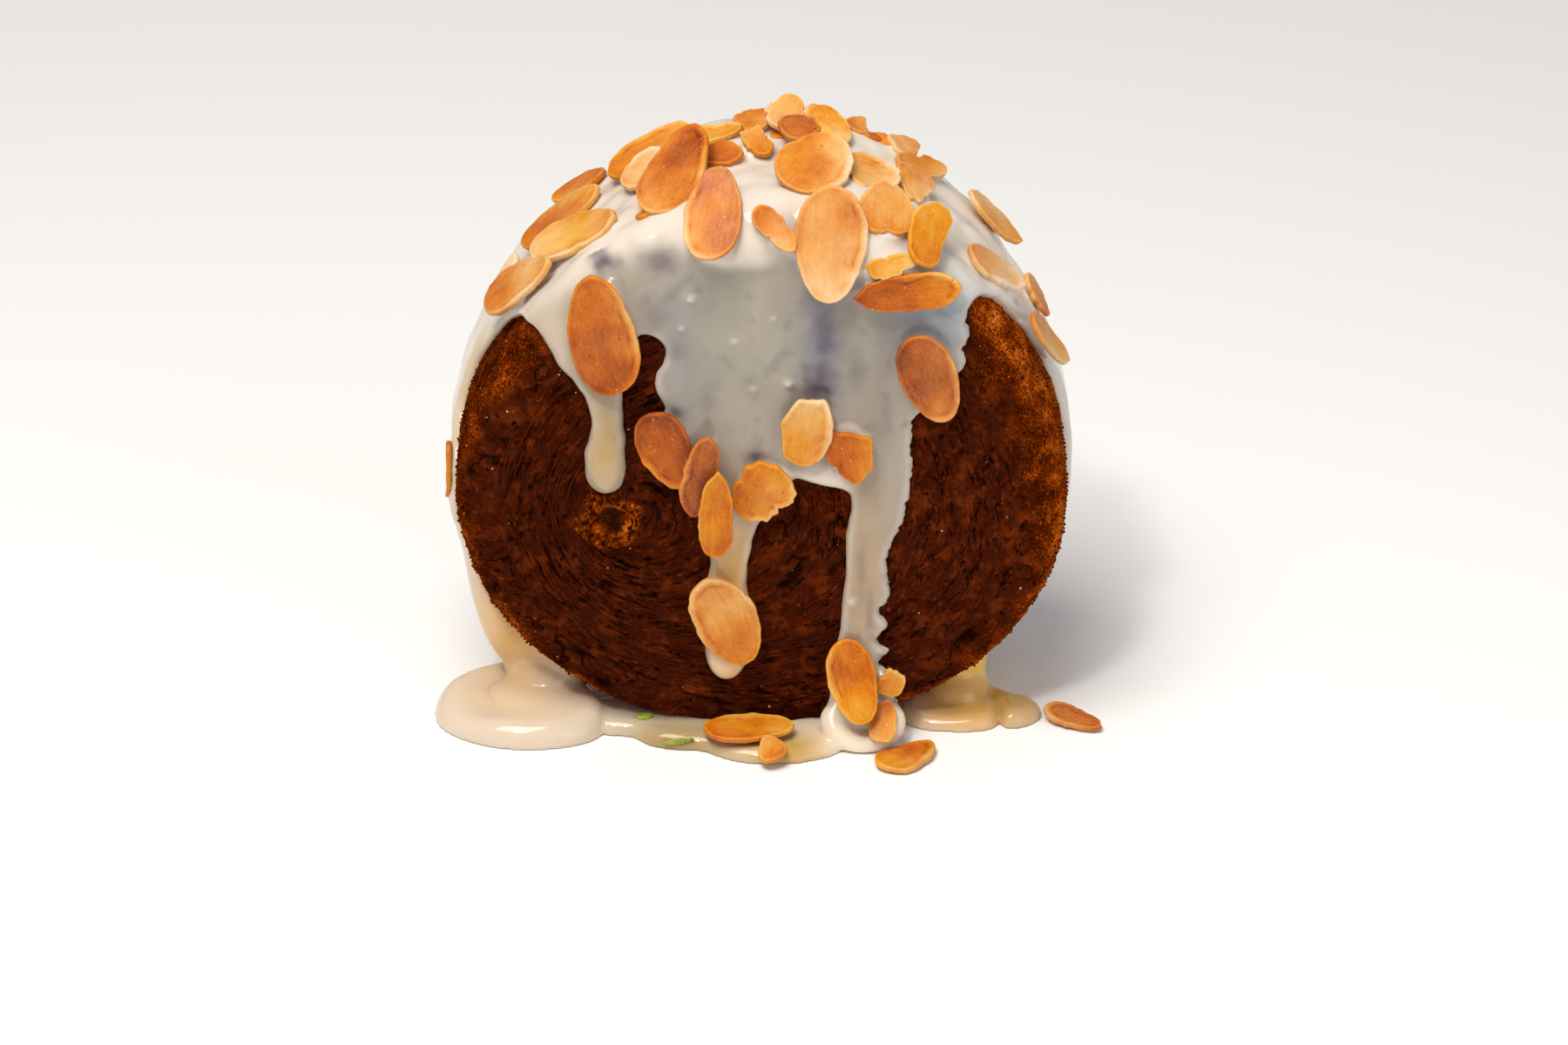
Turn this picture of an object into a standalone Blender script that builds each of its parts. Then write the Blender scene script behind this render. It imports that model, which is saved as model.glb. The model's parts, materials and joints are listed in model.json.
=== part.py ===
"""A round laminated pastry roll that rests on its rim, under white icing and toasted almond slices.

Metres, +Z up. The spiral face looks along -Y. The origin is the middle of the small flat spot that
the roll rests on. A place on the roll is given by two values: "around", the angle in degrees about
the roll's axis, from +X towards +Z, and "over", the distance in millimetres from the middle of the
rim over the edge towards the middle of the front face (negative towards the back face).
"""
import math
from collections import namedtuple

import bmesh
import bpy
from mathutils import Matrix, Vector
from mathutils.bvhtree import BVHTree

MM = 0.001

# The roll: a disc of dough, baked in a ring, with soft edges.
ROLL_THICKNESS = 40 * MM
ROLL_EDGE = 7 * MM              # radius of the soft edge between rim and face
ROLL_CENTRE_HEIGHT = 45.6 * MM  # the rim dips 0.4 mm below this, which makes the flat spot
ROLL_RADII = [49.5, 47.7, 47.5, 48.9, 48.6, 47.5, 46.9, 48.1,
              50.5, 50.6, 49.1, 47.4, 46.0, 46.9, 49.3, 50.6]  # mm, every 22.5 degrees from +X
ROLL_SEGMENTS = 48
EDGE_STEPS = 3                  # rings over each soft edge
FACE_RINGS = [0.6]              # rings on a face, as parts of its radius
EYE_CENTRE = (-25 * MM, -5 * MM)  # where the spiral starts, across and up from the roll's centre
EYE_RADIUS = 3.6 * MM
EYE_ROUNDING = 1.3 * MM
EYE_SUNK = 0.3 * MM

# The icing: a coat over the top, which runs down both faces and both sides to puddles.
GAP = 0.3 * MM                  # left free between neighbouring pieces
COAT = 1.8 * MM                 # outside of the coat, from the dough
CURTAIN_DEPTH = 32 * MM         # the coat's outlines are cut through this much on each side
FRONT_OUTLINE = [  # mm across and up from the roll's centre, clockwise from the left side
    (-60, 6), (-50.2, 8), (-50.2, 15), (-47.4, 22), (-43.4, 29.5), (-39, 32), (-35.5, 26), (-31, 20),
    (-28.5, 15), (-28, 12), (-29, 6), (-28, 2), (-25.5, 0.2), (-23, 2), (-22.5, 7), (-22.7, 16.5),
    (-21.4, 22), (-20.4, 27.5), (-18.5, 28.2), (-16, 26), (-17.2, 21.5), (-16.2, 16), (-13.8, 9.5),
    (-10, 3), (-8.8, -5.5), (-8.7, -15), (-9.2, -22), (-9.4, -30.5), (-6, -33.5), (-3, -31.5),
    (-2.8, -22), (-2.8, -13), (-0.7, -5.7), (2.5, -0.5), (4.3, 2.5), (10, 1.8), (13.8, -0.2),
    (13.5, -6), (13.2, -15), (12.5, -25), (11.5, -31), (10.8, -38), (10.5, -48), (22, -48),
    (21.5, -36), (19, -31), (20, -29), (18.2, -26), (20.6, -19), (20, -12), (22.5, -5.5), (23.8, 3),
    (24, 11), (26, 16), (31.5, 23), (32.6, 27), (33.3, 32.5), (35.6, 35.5), (38.7, 34), (42.5, 30),
    (46.5, 24), (48.7, 17.5), (49.5, 7), (50, -2), (60, -2), (60, 62), (-60, 62)]
BACK_OUTLINE = [  # the same for the back face, which runs in its own way
    (-60, 4), (-50.5, 8), (-48, 16), (-44, 12), (-41, 6), (-37, 12), (-33, 17), (-28, 11), (-25, 8),
    (-20, 13), (-17, 4), (-16, -14), (-16.5, -48), (-7.5, -48), (-7, -30), (-6.5, -12), (-4.5, 1),
    (-1, 6), (2, -6), (3, -22), (6, -26), (9, -22), (10, -6), (13, 9), (18, 12), (22.5, 6), (24, -8),
    (26.5, -12), (29, -8), (31, 8), (34, 17), (38, 24), (43, 22), (47.5, 12), (50, -2), (60, -2),
    (60, 62), (-60, 62)]
LEFT_BAND = [  # what the icing covers of the left side, mm front to back and up from the roll's centre
    (-9, 40), (-9, 22), (-8.5, 10), (-5.5, -2), (-5, -14), (-7, -26), (-8.5, -36), (3, -36),
    (5, -28), (8, -18), (11, -6), (13, 8), (13, 22), (13, 40)]
RIGHT_BAND = [
    (-9.5, 40), (-9.5, 24), (-9, 10), (-7, -2), (-5, -14), (-8, -26), (-9, -37), (1, -37),
    (3, -27), (6, -15), (5, -5), (10, 4), (13, 16), (13, 40)]
BAND_INSIDE = 30 * MM           # the bands are cut from the outside in to here, across
BAND_OUTSIDE = 60 * MM

# Thick drops, mm: middle (across, front to back, height above the ground), then the half sizes.
DROPS = [
    ((-25.5, -21, 51.3), (3.1, 1.9, 5)),    # end of the left drip
    ((-6.2, -21, 16), (3.4, 1.9, 4.5)),     # end of the middle drip
    ((16.4, -21.5, 1.6), (6.6, 5.6, 3)),    # foot of the right drip
    ((-12, 24, 2), (6.5, 5, 3.2)),          # foot of the back drip
    ((-38, -5, 8), (4.8, 4, 11)),           # left stream, from the rim down to its puddle
    ((33, -5, 6), (4.2, 4, 9))]             # right stream
PUDDLE_BRIM = 0.45              # the part of a puddle's height over which its edge is drawn in
PUDDLE_FOOT = 1 * MM            # what is cut off again at the ground
# Puddles, mm: height, then the outline across and front to back.
PUDDLES = [
    (4.2, [(-55, -11), (-52.5, -4), (-47, 0), (-38, 1), (-31, -3), (-27, -10), (-26, -17), (-28, -21),
           (-33, -23.5), (-40, -24.5), (-47, -22.5), (-53, -17.5)]),
    (2.6, [(-29, -11), (-26, -20), (-22, -20.5), (-18.5, -24), (-14, -25), (-10, -25.5), (-6, -28),
           (-2, -29), (3, -29), (7, -28), (12, -26), (14, -20), (12, -10), (-8, -9), (-18, -8)]),
    (3.0, [(22, -18), (28, -19.5), (35, -20), (41, -18.5), (45, -16), (46, -12), (44, -9), (41, -8),
           (39, -5), (35, -2), (30, -2), (25, -9)]),
    (2.8, [(-21, 15), (-8, 14), (-2, 19), (-3, 26), (-10, 31), (-18, 29), (-22, 22)])]

# The almond slices. turn is the long axis, in degrees from straight over the edge; tip turns a slice
# on the rim to the front, and one on the front face upwards; point narrows one end (+ or -), cut is
# the part of one half that has broken off, and bed is how far from the dough the slice starts.
SLICE_THICKNESS = 1.2 * MM
SLICE_SEGMENTS = 12
SLICE_BOW = 0.02                # how far the ends turn up, as a part of the length
SLICE_ENDS = 0.12               # how much narrower than an ellipse a slice gets towards its ends
LOW_SLICE_POINT = 0.2           # how much a slice on the puddles narrows to one end
LIFT_STEP = 0.2 * MM            # a slice is lifted by such steps until it is clear
MOST_LIFTS = 60
ON_DOUGH = 0.35 * MM            # a slice that sticks to bare dough starts this far out
Slice = namedtuple("Slice", "around over turn length width tip point cut toast bed", defaults=[COAT])
SLICES = [
    # upper left of the roll
    Slice(127, -13, -110, 12.5, 5, 5, 0.2, 0, "golden"),
    Slice(131, -5, -95, 17, 8.5, 8, 0.3, 0, "brown"),
    Slice(127, 7, -116, 19, 8.5, 12, 0.3, 0, "golden"),
    Slice(142, 7.5, -117, 18, 8.5, 12, 0.3, 0.2, "pale"),
    Slice(148, -5, -65, 9, 4.5, 5, 0.2, 0, "brown"),
    Slice(111, -9, -70, 15.5, 9, 12, 0.2, 0, "golden"),
    Slice(112, -2, -30, 10, 6.5, 10, 0.1, 0, "pale"),
    Slice(105, 6, -28, 19.5, 10, 22, 0.3, 0, "brown"),
    Slice(99.5, -9, -92, 11, 5.5, 8, 0.2, 0.2, "golden"),
    Slice(97.5, 0, -132, 8, 6, 10, 0.1, 0.3, "brown"),
    Slice(99, 17, -12, 17, 8.8, 5, 0.25, 0, "golden"),
    Slice(131, 24.5, 149, 22, 10.3, 0, -0.25, 0, "golden"),
    Slice(88, 19.5, -135, 11, 4, 0, 0.1, 0.3, "golden"),
    # the heap on top
    Slice(92, -12, -65, 7.5, 6, 10, 0.1, 0.3, "brown"),
    Slice(91, -3, -155, 9, 6, 15, 0.3, 0.3, "golden"),
    Slice(86, -11.5, -15, 9.5, 6.2, 14, 0.1, 0, "pale"),
    Slice(78.5, -10, -152, 11, 7, 15, 0.2, 0, "pale"),
    Slice(84, -5.5, -80, 7.5, 6.5, 14, 0.1, 0.3, "brown"),
    Slice(73, -15, -30, 6.5, 4.6, 20, 0.2, 0.4, "pale"),
    Slice(71, 4, -68, 10.5, 9.5, 10, 0.2, 0.2, "pale"),
    Slice(81, 8, -35, 14, 11.5, 22, 0.1, 0, "golden"),
    Slice(64, -14, -50, 7.5, 5.5, 12, 0.2, 0.3, "golden"),
    Slice(60.5, -9, -55, 11.5, 5, 12, 0.2, 0, "pale"),
    Slice(62.5, 0.5, -72, 8, 9, 12, 0.1, 0.4, "golden"),
    Slice(67.5, 15, 8, 13.5, 9.5, 8, 0.1, 0.4, "pale"),
    Slice(76.5, 21, 9, 19, 11, 0, -0.2, 0, "pale"),
    Slice(59.5, 16, 2, 13.5, 7, 8, -0.3, 0.2, "golden"),
    Slice(64, 21, -51, 9.5, 3.5, 0, 0.1, 0.2, "golden"),
    Slice(58, 22.5, -55, 18.5, 5.8, 0, -0.2, 0, "golden"),
    # upper right
    Slice(41.5, -14, -45, 11, 5, 14, 0.3, 0, "pale"),
    Slice(43, -10, -85, 13.5, 5, 8, 0.3, 0, "golden"),
    Slice(42, 7.5, -62, 15, 6, 10, 0.3, 0, "pale"),
    Slice(27.5, -5, -115, 8, 4.5, 8, 0.3, 0, "brown"),
    Slice(23.5, 5.5, -66, 14, 5.5, 10, 0.3, 0, "golden"),
    Slice(39, 30, -109, 16.3, 8.8, 0, 0.2, 0, "brown"),
    # on the front face
    Slice(32.5, 48, -109, 12, 7.4, 0, 0.1, 0.3, "golden"),
    Slice(61, 51.5, 15, 14.5, 8, 0, 0.1, 0.3, "golden"),
    Slice(104.5, 63.5, -127, 11.5, 10.5, 0, 0.1, 0.3, "golden"),
    Slice(151, 46.5, 140, 14.5, 8, 0, 0.3, 0, "golden"),
    Slice(154, 53.5, -75, 15.5, 5.5, 0, 0.2, 0, "brown"),
    Slice(-169, 60, -103, 17, 5.2, 0, 0.2, 0.1, "golden"),
    Slice(-105.5, 41, 40, 17, 10, 0, 0.1, 0, "pale"),
    Slice(-66, 28, -10, 15, 7.5, 22, 0.2, 0, "golden"),
    Slice(-58.5, 25, 122, 7, 4.5, 0, 0.1, 0.4, "golden"),
    # left side
    Slice(181.5, 9, -87, 10, 5, 0, 0.2, 0, "brown", ON_DOUGH),
    # behind the top and on the back face
    Slice(118, -25, -60, 17, 9, 0, 0.3, 0, "golden"),
    Slice(97, -28, 20, 18, 9.5, 0, 0.3, 0, "pale"),
    Slice(74, -25, -35, 16, 8.5, 0, 0.3, 0, "golden"),
    Slice(50, -26, 70, 17, 8, 0, 0.3, 0, "brown"),
    Slice(85, -42, 110, 14, 8, 0, 0.3, 0.3, "golden"),
    Slice(140, -34, 15, 15, 7.5, 0, 0.3, 0, "golden")]
# Slices on the puddles, in mm and degrees: the middle, then the heading of the long axis.
LowSlice = namedtuple("LowSlice", "across depth height heading length width tip cut toast")
LOW_SLICES = [
    LowSlice(-2.4, -24.3, 3.2, 4, 15.5, 6.5, 8, 0, "golden"),
    LowSlice(1, -29.5, 1.5, -5, 5.5, 5, 25, 0.4, "pale"),
    LowSlice(19.6, -25, 5, 82, 8, 4.5, 50, 0.2, "golden"),
    LowSlice(23.3, -28.4, 0.9, 42, 12.5, 7, 0, 0.2, "golden"),
    LowSlice(51, -15.3, 1.2, -33, 12, 4.5, 10, 0.2, "pale")]

# name of the material: colour, roughness
COLOURS = {
    "dough": ((0.105, 0.035, 0.012, 1), 0.75),
    "icing": ((0.80, 0.76, 0.66, 1), 0.25),
    "almond_pale": ((0.72, 0.40, 0.17, 1), 0.55),
    "almond_golden": ((0.62, 0.27, 0.06, 1), 0.55),
    "almond_brown": ((0.42, 0.15, 0.04, 1), 0.6)}


def collection(name, hidden=False):
    made = bpy.data.collections.new(name)
    made.hide_render = hidden
    bpy.context.scene.collection.children.link(made)
    return made


def material(name):
    colour, roughness = COLOURS[name]
    made = bpy.data.materials.get(name) or bpy.data.materials.new(name)
    made.use_nodes = True
    made.diffuse_color = colour
    shader = made.node_tree.nodes["Principled BSDF"]
    shader.inputs["Base Color"].default_value = colour
    shader.inputs["Roughness"].default_value = roughness
    return made


def object_from(bm, name, where):
    """Turns a bmesh into an object of the collection, and frees it."""
    mesh = bpy.data.meshes.new(name)
    bm.to_mesh(mesh)
    bm.free()
    made = bpy.data.objects.new(name, mesh)
    where.objects.link(made)
    return made


def cutter_from(bm, name):
    made = object_from(bm, name, cutters)
    made.display_type = "WIRE"
    made.hide_render = True
    return made


def boolean(target, cutter, operation):
    modifier = target.modifiers.new(f"{operation.lower()} {cutter.name}", "BOOLEAN")
    modifier.operation = operation
    modifier.solver = "EXACT"
    modifier.object = cutter


# ---- the roll -------------------------------------------------------------------------------

def rim_radius(around):
    """The roll's radius at an angle in radians, on a smooth curve through ROLL_RADII."""
    count = len(ROLL_RADII)
    place = around / math.tau * count
    first = math.floor(place)
    f = place - first
    a, b, c, d = (ROLL_RADII[(first + step) % count] for step in (-1, 0, 1, 2))
    slope = c - a + f * (2 * a - 5 * b + 4 * c - d + f * (3 * (b - c) + d - a))
    return (b + 0.5 * f * slope) * MM


def section(over, around, grow=0.0):
    """(radius, y) of the point at this distance over the edge, on a roll grown by grow."""
    edge = ROLL_EDGE + grow
    flat = ROLL_THICKNESS / 2 - ROLL_EDGE
    radius = rim_radius(around) + grow
    side = -1 if over >= 0 else 1
    rest = abs(over) - flat
    if rest <= 0:
        return radius, -over
    turn = min(rest / edge, math.pi / 2)
    inward = rest - turn * edge
    return radius - edge + edge * math.cos(turn) - inward, side * (flat + edge * math.sin(turn))


def ring_places(around, grow):
    """The distances over the edge at which the rings lie, from the front pole to the back pole."""
    edge = ROLL_EDGE + grow
    flat = ROLL_THICKNESS / 2 - ROLL_EDGE
    face = flat + edge * math.pi / 2
    reach = rim_radius(around) + grow - edge
    half = [face + reach]
    half += [face + reach * (1 - part) for part in FACE_RINGS]
    half += [flat + edge * math.pi / 2 * step / EDGE_STEPS for step in range(EDGE_STEPS, -1, -1)]
    half += [flat / 2]
    return half + [0] + [-over for over in reversed(half)]


def roll_point(around, over, grow=0.0):
    radius, y = section(over, around, grow)
    return Vector((radius * math.cos(around), y, ROLL_CENTRE_HEIGHT + radius * math.sin(around)))


def disc(grow=0.0):
    """The dough's shape, grown on all sides: a ball whose rings are moved onto the disc."""
    rings = len(ring_places(0, grow)) - 1
    bm = bmesh.new()
    bmesh.ops.create_uvsphere(bm, u_segments=ROLL_SEGMENTS, v_segments=rings, radius=1)
    for vertex in bm.verts:
        x, y, z = vertex.co
        ring = round(math.acos(max(-1, min(1, z))) / math.pi * rings)
        around = math.atan2(y, x)
        vertex.co = roll_point(around, ring_places(around, grow)[ring], grow)
    return bm


def eye(side):
    """The raised ring where the spiral starts, on the front (-1) or the back (+1) face."""
    across, up = EYE_CENTRE
    depth = side * (ROLL_THICKNESS / 2 - EYE_SUNK)
    bpy.ops.mesh.primitive_torus_add(
        major_segments=16, minor_segments=6, major_radius=EYE_RADIUS, minor_radius=EYE_ROUNDING,
        location=(across, depth, ROLL_CENTRE_HEIGHT + up), rotation=(math.pi / 2, 0, 0))
    made = bpy.context.object
    made.name = "eye_front" if side < 0 else "eye_back"
    for holder in made.users_collection:
        holder.objects.unlink(made)
    cutters.objects.link(made)
    made.display_type = "WIRE"
    made.hide_render = True
    return made


def build_roll():
    bm = disc()
    for vertex in bm.verts:
        vertex.co.z = max(vertex.co.z, 0)
    roll = object_from(bm, "roll", parts)
    for side in (-1, 1):
        boolean(roll, eye(side), "UNION")
    roll.data.materials.append(material("dough"))
    return roll


# ---- the icing ------------------------------------------------------------------------------

def plate_from(outline, name, low, high, stand=None):
    """A flat outline in millimetres, made solid from low to high.

    It lies on the ground, or stands with its face to the front ("Y") or to the side ("X").
    """
    curve = bpy.data.curves.new(name, "CURVE")
    curve.dimensions = "2D"
    curve.fill_mode = "BOTH"
    curve.extrude = (high - low) / 2
    spline = curve.splines.new("POLY")
    spline.points.add(len(outline) - 1)
    spline.use_cyclic_u = True
    for point, (u, v) in zip(spline.points, outline):
        point.co = (u * MM, v * MM, 0, 1)
    helper = bpy.data.objects.new(name, curve)
    cutters.objects.link(helper)
    bm = bmesh.new()
    bm.from_mesh(bpy.data.meshes.new_from_object(helper))
    bpy.data.objects.remove(helper)
    bmesh.ops.remove_doubles(bm, verts=bm.verts, dist=0.00001)
    middle = (low + high) / 2
    upright = Matrix.Rotation(math.pi / 2, 4, "X")
    if stand == "Y":
        bm.transform(Matrix.Translation((0, middle, ROLL_CENTRE_HEIGHT)) @ upright)
    elif stand == "X":
        sideways = Matrix.Rotation(math.pi / 2, 4, "Z")
        bm.transform(Matrix.Translation((middle, 0, ROLL_CENTRE_HEIGHT)) @ sideways @ upright)
    else:
        bm.transform(Matrix.Translation((0, 0, middle)))
    bmesh.ops.recalc_face_normals(bm, faces=bm.faces)
    return cutter_from(bm, name)


def ground_block():
    """All that would be below the ground."""
    side = 200 * MM
    bm = bmesh.new()
    bmesh.ops.create_cube(bm, size=side)
    bm.transform(Matrix.Translation((0, 0, -side / 2)))
    return cutter_from(bm, "ground")


def curtain():
    """All that the icing covers of the roll: both faces' outlines and a band down each side."""
    overlap = 1 * MM
    front = plate_from(FRONT_OUTLINE, "curtain_front", -CURTAIN_DEPTH, overlap, stand="Y")
    others = [
        plate_from(BACK_OUTLINE, "curtain_back", -overlap, CURTAIN_DEPTH, stand="Y"),
        plate_from(LEFT_BAND, "band_left", -BAND_OUTSIDE, -BAND_INSIDE, stand="X"),
        plate_from(RIGHT_BAND, "band_right", BAND_INSIDE, BAND_OUTSIDE, stand="X")]
    for other in others:
        boolean(front, other, "UNION")
    return front


def drop(middle, half_sizes, name):
    bm = bmesh.new()
    bmesh.ops.create_uvsphere(bm, u_segments=12, v_segments=8, radius=MM)
    bm.transform(Matrix.Translation(Vector(middle) * MM) @ Matrix.Diagonal((*half_sizes, 1)))
    return cutter_from(bm, name)


def puddle(height, outline, name):
    """A pool with a rounded brim: the lying outline, drawn in and raised at the top."""
    rise = height * MM * PUDDLE_BRIM
    made = plate_from(outline, name, -PUDDLE_FOOT, height * MM - rise)
    bm = bmesh.new()
    bm.from_mesh(made.data)
    top = [face for face in bm.faces if face.normal.z > 0.9]
    region = bmesh.ops.dissolve_faces(bm, faces=top)["region"]
    inset = bmesh.ops.inset_region(bm, faces=region, thickness=rise, use_even_offset=True)
    rim = {vertex for face in inset["faces"] for vertex in face.verts}
    for vertex in rim:
        leads_out = any(edge.other_vert(vertex) not in rim for edge in vertex.link_edges)
        if not leads_out:
            vertex.co.z += rise
    bmesh.ops.triangulate(bm, faces=bm.faces)
    bm.to_mesh(made.data)
    bm.free()
    return made


def build_icing():
    icing = object_from(disc(COAT), "icing", parts)
    boolean(icing, curtain(), "INTERSECT")
    for number, (middle, half_sizes) in enumerate(DROPS):
        boolean(icing, drop(middle, half_sizes, f"drop_{number}"), "UNION")
    for number, (height, outline) in enumerate(PUDDLES):
        boolean(icing, puddle(height, outline, f"puddle_{number}"), "UNION")
    boolean(icing, cutter_from(disc(GAP), "room_for_roll"), "DIFFERENCE")
    boolean(icing, ground_block(), "DIFFERENCE")
    icing.data.materials.append(material("icing"))
    return icing


# ---- the almond slices ------------------------------------------------------------------------

def slice_shape(length, width, thickness, point, cut):
    """A flat almond slice in its own frame: long along X, face up along Z, slightly bowed."""
    ring_parts = (0, 0.75, 1, 0.75, 0)
    rings = len(ring_parts) - 1
    bm = bmesh.new()
    bmesh.ops.create_uvsphere(bm, u_segments=SLICE_SEGMENTS, v_segments=rings, radius=1)
    for vertex in bm.verts:
        x, y, z = vertex.co
        ring = round(math.acos(max(-1, min(1, z))) / math.pi * rings)
        part = ring_parts[ring]
        around = math.atan2(y, x)
        along = math.cos(around)
        broken = max(along, cut - 1) if cut else along
        across = math.sin(around) * (1 - point * along) * (1 - SLICE_ENDS * along * along)
        height = 0 if ring == rings // 2 else math.copysign(thickness / 2, z)
        height += SLICE_BOW * length * (broken * part) ** 2
        vertex.co = (length / 2 * broken * part, width / 2 * across * part, height)
    return bm


def clear_of(bm, obstacles):
    tree = BVHTree.FromBMesh(bm)
    return not any(tree.overlap(other) for other in obstacles)


def settle(shape, place, rise, obstacles):
    """Lifts the slice from place along rise, in small steps, until it is clear of all obstacles."""
    length, width, point, cut = shape
    lifted = place
    for _ in range(MOST_LIFTS):
        room = slice_shape(length + 2 * GAP, width + 2 * GAP, SLICE_THICKNESS + 2 * GAP, point, cut)
        room.transform(lifted)
        free = clear_of(room, obstacles)
        room.free()
        if free:
            return lifted
        lifted = Matrix.Translation(rise * LIFT_STEP) @ lifted
    return lifted


def frame_on_roll(item):
    """The place of a slice on the coat: its middle, and axes along, across and out."""
    around = math.radians(item.around)
    over = item.over * MM
    step = 0.1 * MM
    backwards = (roll_point(around, over - step) - roll_point(around, over + step)).normalized()
    sideways = roll_point(around + 0.01, over) - roll_point(around - 0.01, over)
    out = backwards.cross(sideways).normalized()
    up_the_rim = out.cross(backwards)
    on_face = out.y < -0.9
    hinge = Vector((-1, 0, 0)) if on_face else out.cross(Vector((0, -1, 0))).normalized()
    turn = math.radians(item.turn)
    along = (backwards * math.cos(turn) + up_the_rim * math.sin(turn)).normalized()
    axes = Matrix((along, out.cross(along), out)).transposed().to_4x4()
    axes = Matrix.Rotation(math.radians(item.tip), 4, hinge) @ axes
    start = roll_point(around, over) + out * (item.bed + SLICE_THICKNESS / 2)
    return Matrix.Translation(start) @ axes, out


def frame_on_ground(item):
    turn = Matrix.Rotation(math.radians(item.heading), 4, "Z")
    lean = Matrix.Rotation(math.radians(item.tip), 4, "X")
    middle = Vector((item.across, item.depth, item.height)) * MM
    return Matrix.Translation(middle) @ lean @ turn, Vector((0, 0, 1))


def build_slices(neighbours):
    """Lays the slices down one after the other, each clear of what already lies there."""
    graph = bpy.context.evaluated_depsgraph_get()
    obstacles = [BVHTree.FromObject(neighbour, graph) for neighbour in neighbours]
    ground = bmesh.new()
    bmesh.ops.create_grid(ground, x_segments=1, y_segments=1, size=0.2)
    obstacles.append(BVHTree.FromBMesh(ground))
    ground.free()
    for number, item in enumerate(SLICES + LOW_SLICES, start=1):
        on_roll = isinstance(item, Slice)
        place, rise = frame_on_roll(item) if on_roll else frame_on_ground(item)
        point = item.point if on_roll else LOW_SLICE_POINT
        length, width = item.length * MM, item.width * MM
        place = settle((length, width, point, item.cut), place, rise, obstacles)
        bm = slice_shape(length, width, SLICE_THICKNESS, point, item.cut)
        placed = bm.copy()
        placed.transform(place)
        obstacles.append(BVHTree.FromBMesh(placed))
        placed.free()
        made = object_from(bm, f"almond_{number:02d}", parts)
        made.matrix_world = place
        made.data.materials.append(material(f"almond_{item.toast}"))


for old in list(bpy.data.objects):
    bpy.data.objects.remove(old)
parts = collection("new_york_roll")
cutters = collection("cutters", hidden=True)
build_slices([build_roll(), build_icing()])
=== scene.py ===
"""The looks of the new york roll: laminated dough, white icing and toasted almond slices.

Working units are millimetres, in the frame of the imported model; a mesh is put into metres last.
"up" is the height over the roll's centre, and a thickness or height over the dough is "rise".
"""
import json
import math
from itertools import product

import bpy
import numpy as np
from mathutils import Euler, Matrix, Vector
from mathutils.bvhtree import BVHTree

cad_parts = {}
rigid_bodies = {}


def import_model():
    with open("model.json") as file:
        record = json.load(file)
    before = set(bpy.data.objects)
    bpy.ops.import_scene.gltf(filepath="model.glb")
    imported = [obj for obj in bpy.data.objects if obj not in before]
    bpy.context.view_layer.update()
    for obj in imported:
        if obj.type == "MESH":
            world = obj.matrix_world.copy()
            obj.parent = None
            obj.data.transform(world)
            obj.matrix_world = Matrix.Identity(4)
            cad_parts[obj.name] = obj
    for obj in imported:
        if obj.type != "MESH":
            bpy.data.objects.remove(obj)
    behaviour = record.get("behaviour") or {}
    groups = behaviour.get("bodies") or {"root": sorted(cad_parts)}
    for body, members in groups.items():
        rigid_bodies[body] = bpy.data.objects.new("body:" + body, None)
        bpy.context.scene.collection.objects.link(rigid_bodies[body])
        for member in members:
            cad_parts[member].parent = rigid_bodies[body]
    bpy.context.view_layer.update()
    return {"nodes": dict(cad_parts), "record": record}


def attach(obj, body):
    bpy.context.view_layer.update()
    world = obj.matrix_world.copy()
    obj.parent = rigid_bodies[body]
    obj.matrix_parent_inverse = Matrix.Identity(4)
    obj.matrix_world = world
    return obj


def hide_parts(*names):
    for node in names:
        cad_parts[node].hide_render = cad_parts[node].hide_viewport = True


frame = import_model()

MM = 0.001
CENTRE_HEIGHT = 45.6            # the roll's centre over the ground
HALF_THICKNESS = 20.0
SOFT_EDGE = 7.0                 # radius between rim and face

# ---- noise and small helpers ------------------------------------------------------------------


CURVE_STEPS = 5                 # parts of a smooth outline between two of its points
CLOUD_HEIGHT = 1.3              # brings the noise to about -1 to 1
SLANTED = np.array(Euler((0.7, 0.5, 0.9)).to_matrix(), np.float32)


def cloud(places, size, seed):
    """Soft noise from about -1 to 1 at the places (n, 3), with lumps of the given size."""
    side = 32
    lattice = np.random.RandomState(seed).uniform(-1, 1, (side, side, side)).astype(np.float32)
    steps = (np.asarray(places, np.float32) / np.asarray(size, np.float32)) @ SLANTED
    corner = np.floor(steps).astype(np.int32)
    f = steps - corner
    f = f * f * (3 - 2 * f)
    total = np.zeros(len(steps), np.float32)
    for dx, dy, dz in product((0, 1), repeat=3):
        weight = (f[:, 0] if dx else 1 - f[:, 0]) * (f[:, 1] if dy else 1 - f[:, 1])
        weight = weight * (f[:, 2] if dz else 1 - f[:, 2])
        at = (corner + (dx, dy, dz)) % side
        total += weight * lattice[at[:, 0], at[:, 1], at[:, 2]]
    return total * CLOUD_HEIGHT


def rise_between(low, high, value):
    """0 below low, 1 above high and a smooth step between them."""
    f = np.clip((np.asarray(value) - low) / (high - low), 0, 1)
    return f * f * (3 - 2 * f)


def bump_at(distance, width):
    return np.exp(-(np.asarray(distance) / width) ** 2)


def colour(red, green, blue):
    """A colour given as 0 to 255 on screen, in the renderer's linear values."""
    return tuple(((v / 255 + 0.055) / 1.055) ** 2.4 if v > 10 else v / 255 / 12.92
                 for v in (red, green, blue)) + (1.0,)


def piece_from(name, points, faces):
    """A mesh object from points in millimetres."""
    mesh = bpy.data.meshes.new(name)
    mesh.from_pydata((np.asarray(points, float) * MM).tolist(), [], [list(f) for f in faces])
    made = bpy.data.objects.new(name, mesh)
    bpy.context.scene.collection.objects.link(made)
    mesh.shade_smooth()
    return made


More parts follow.
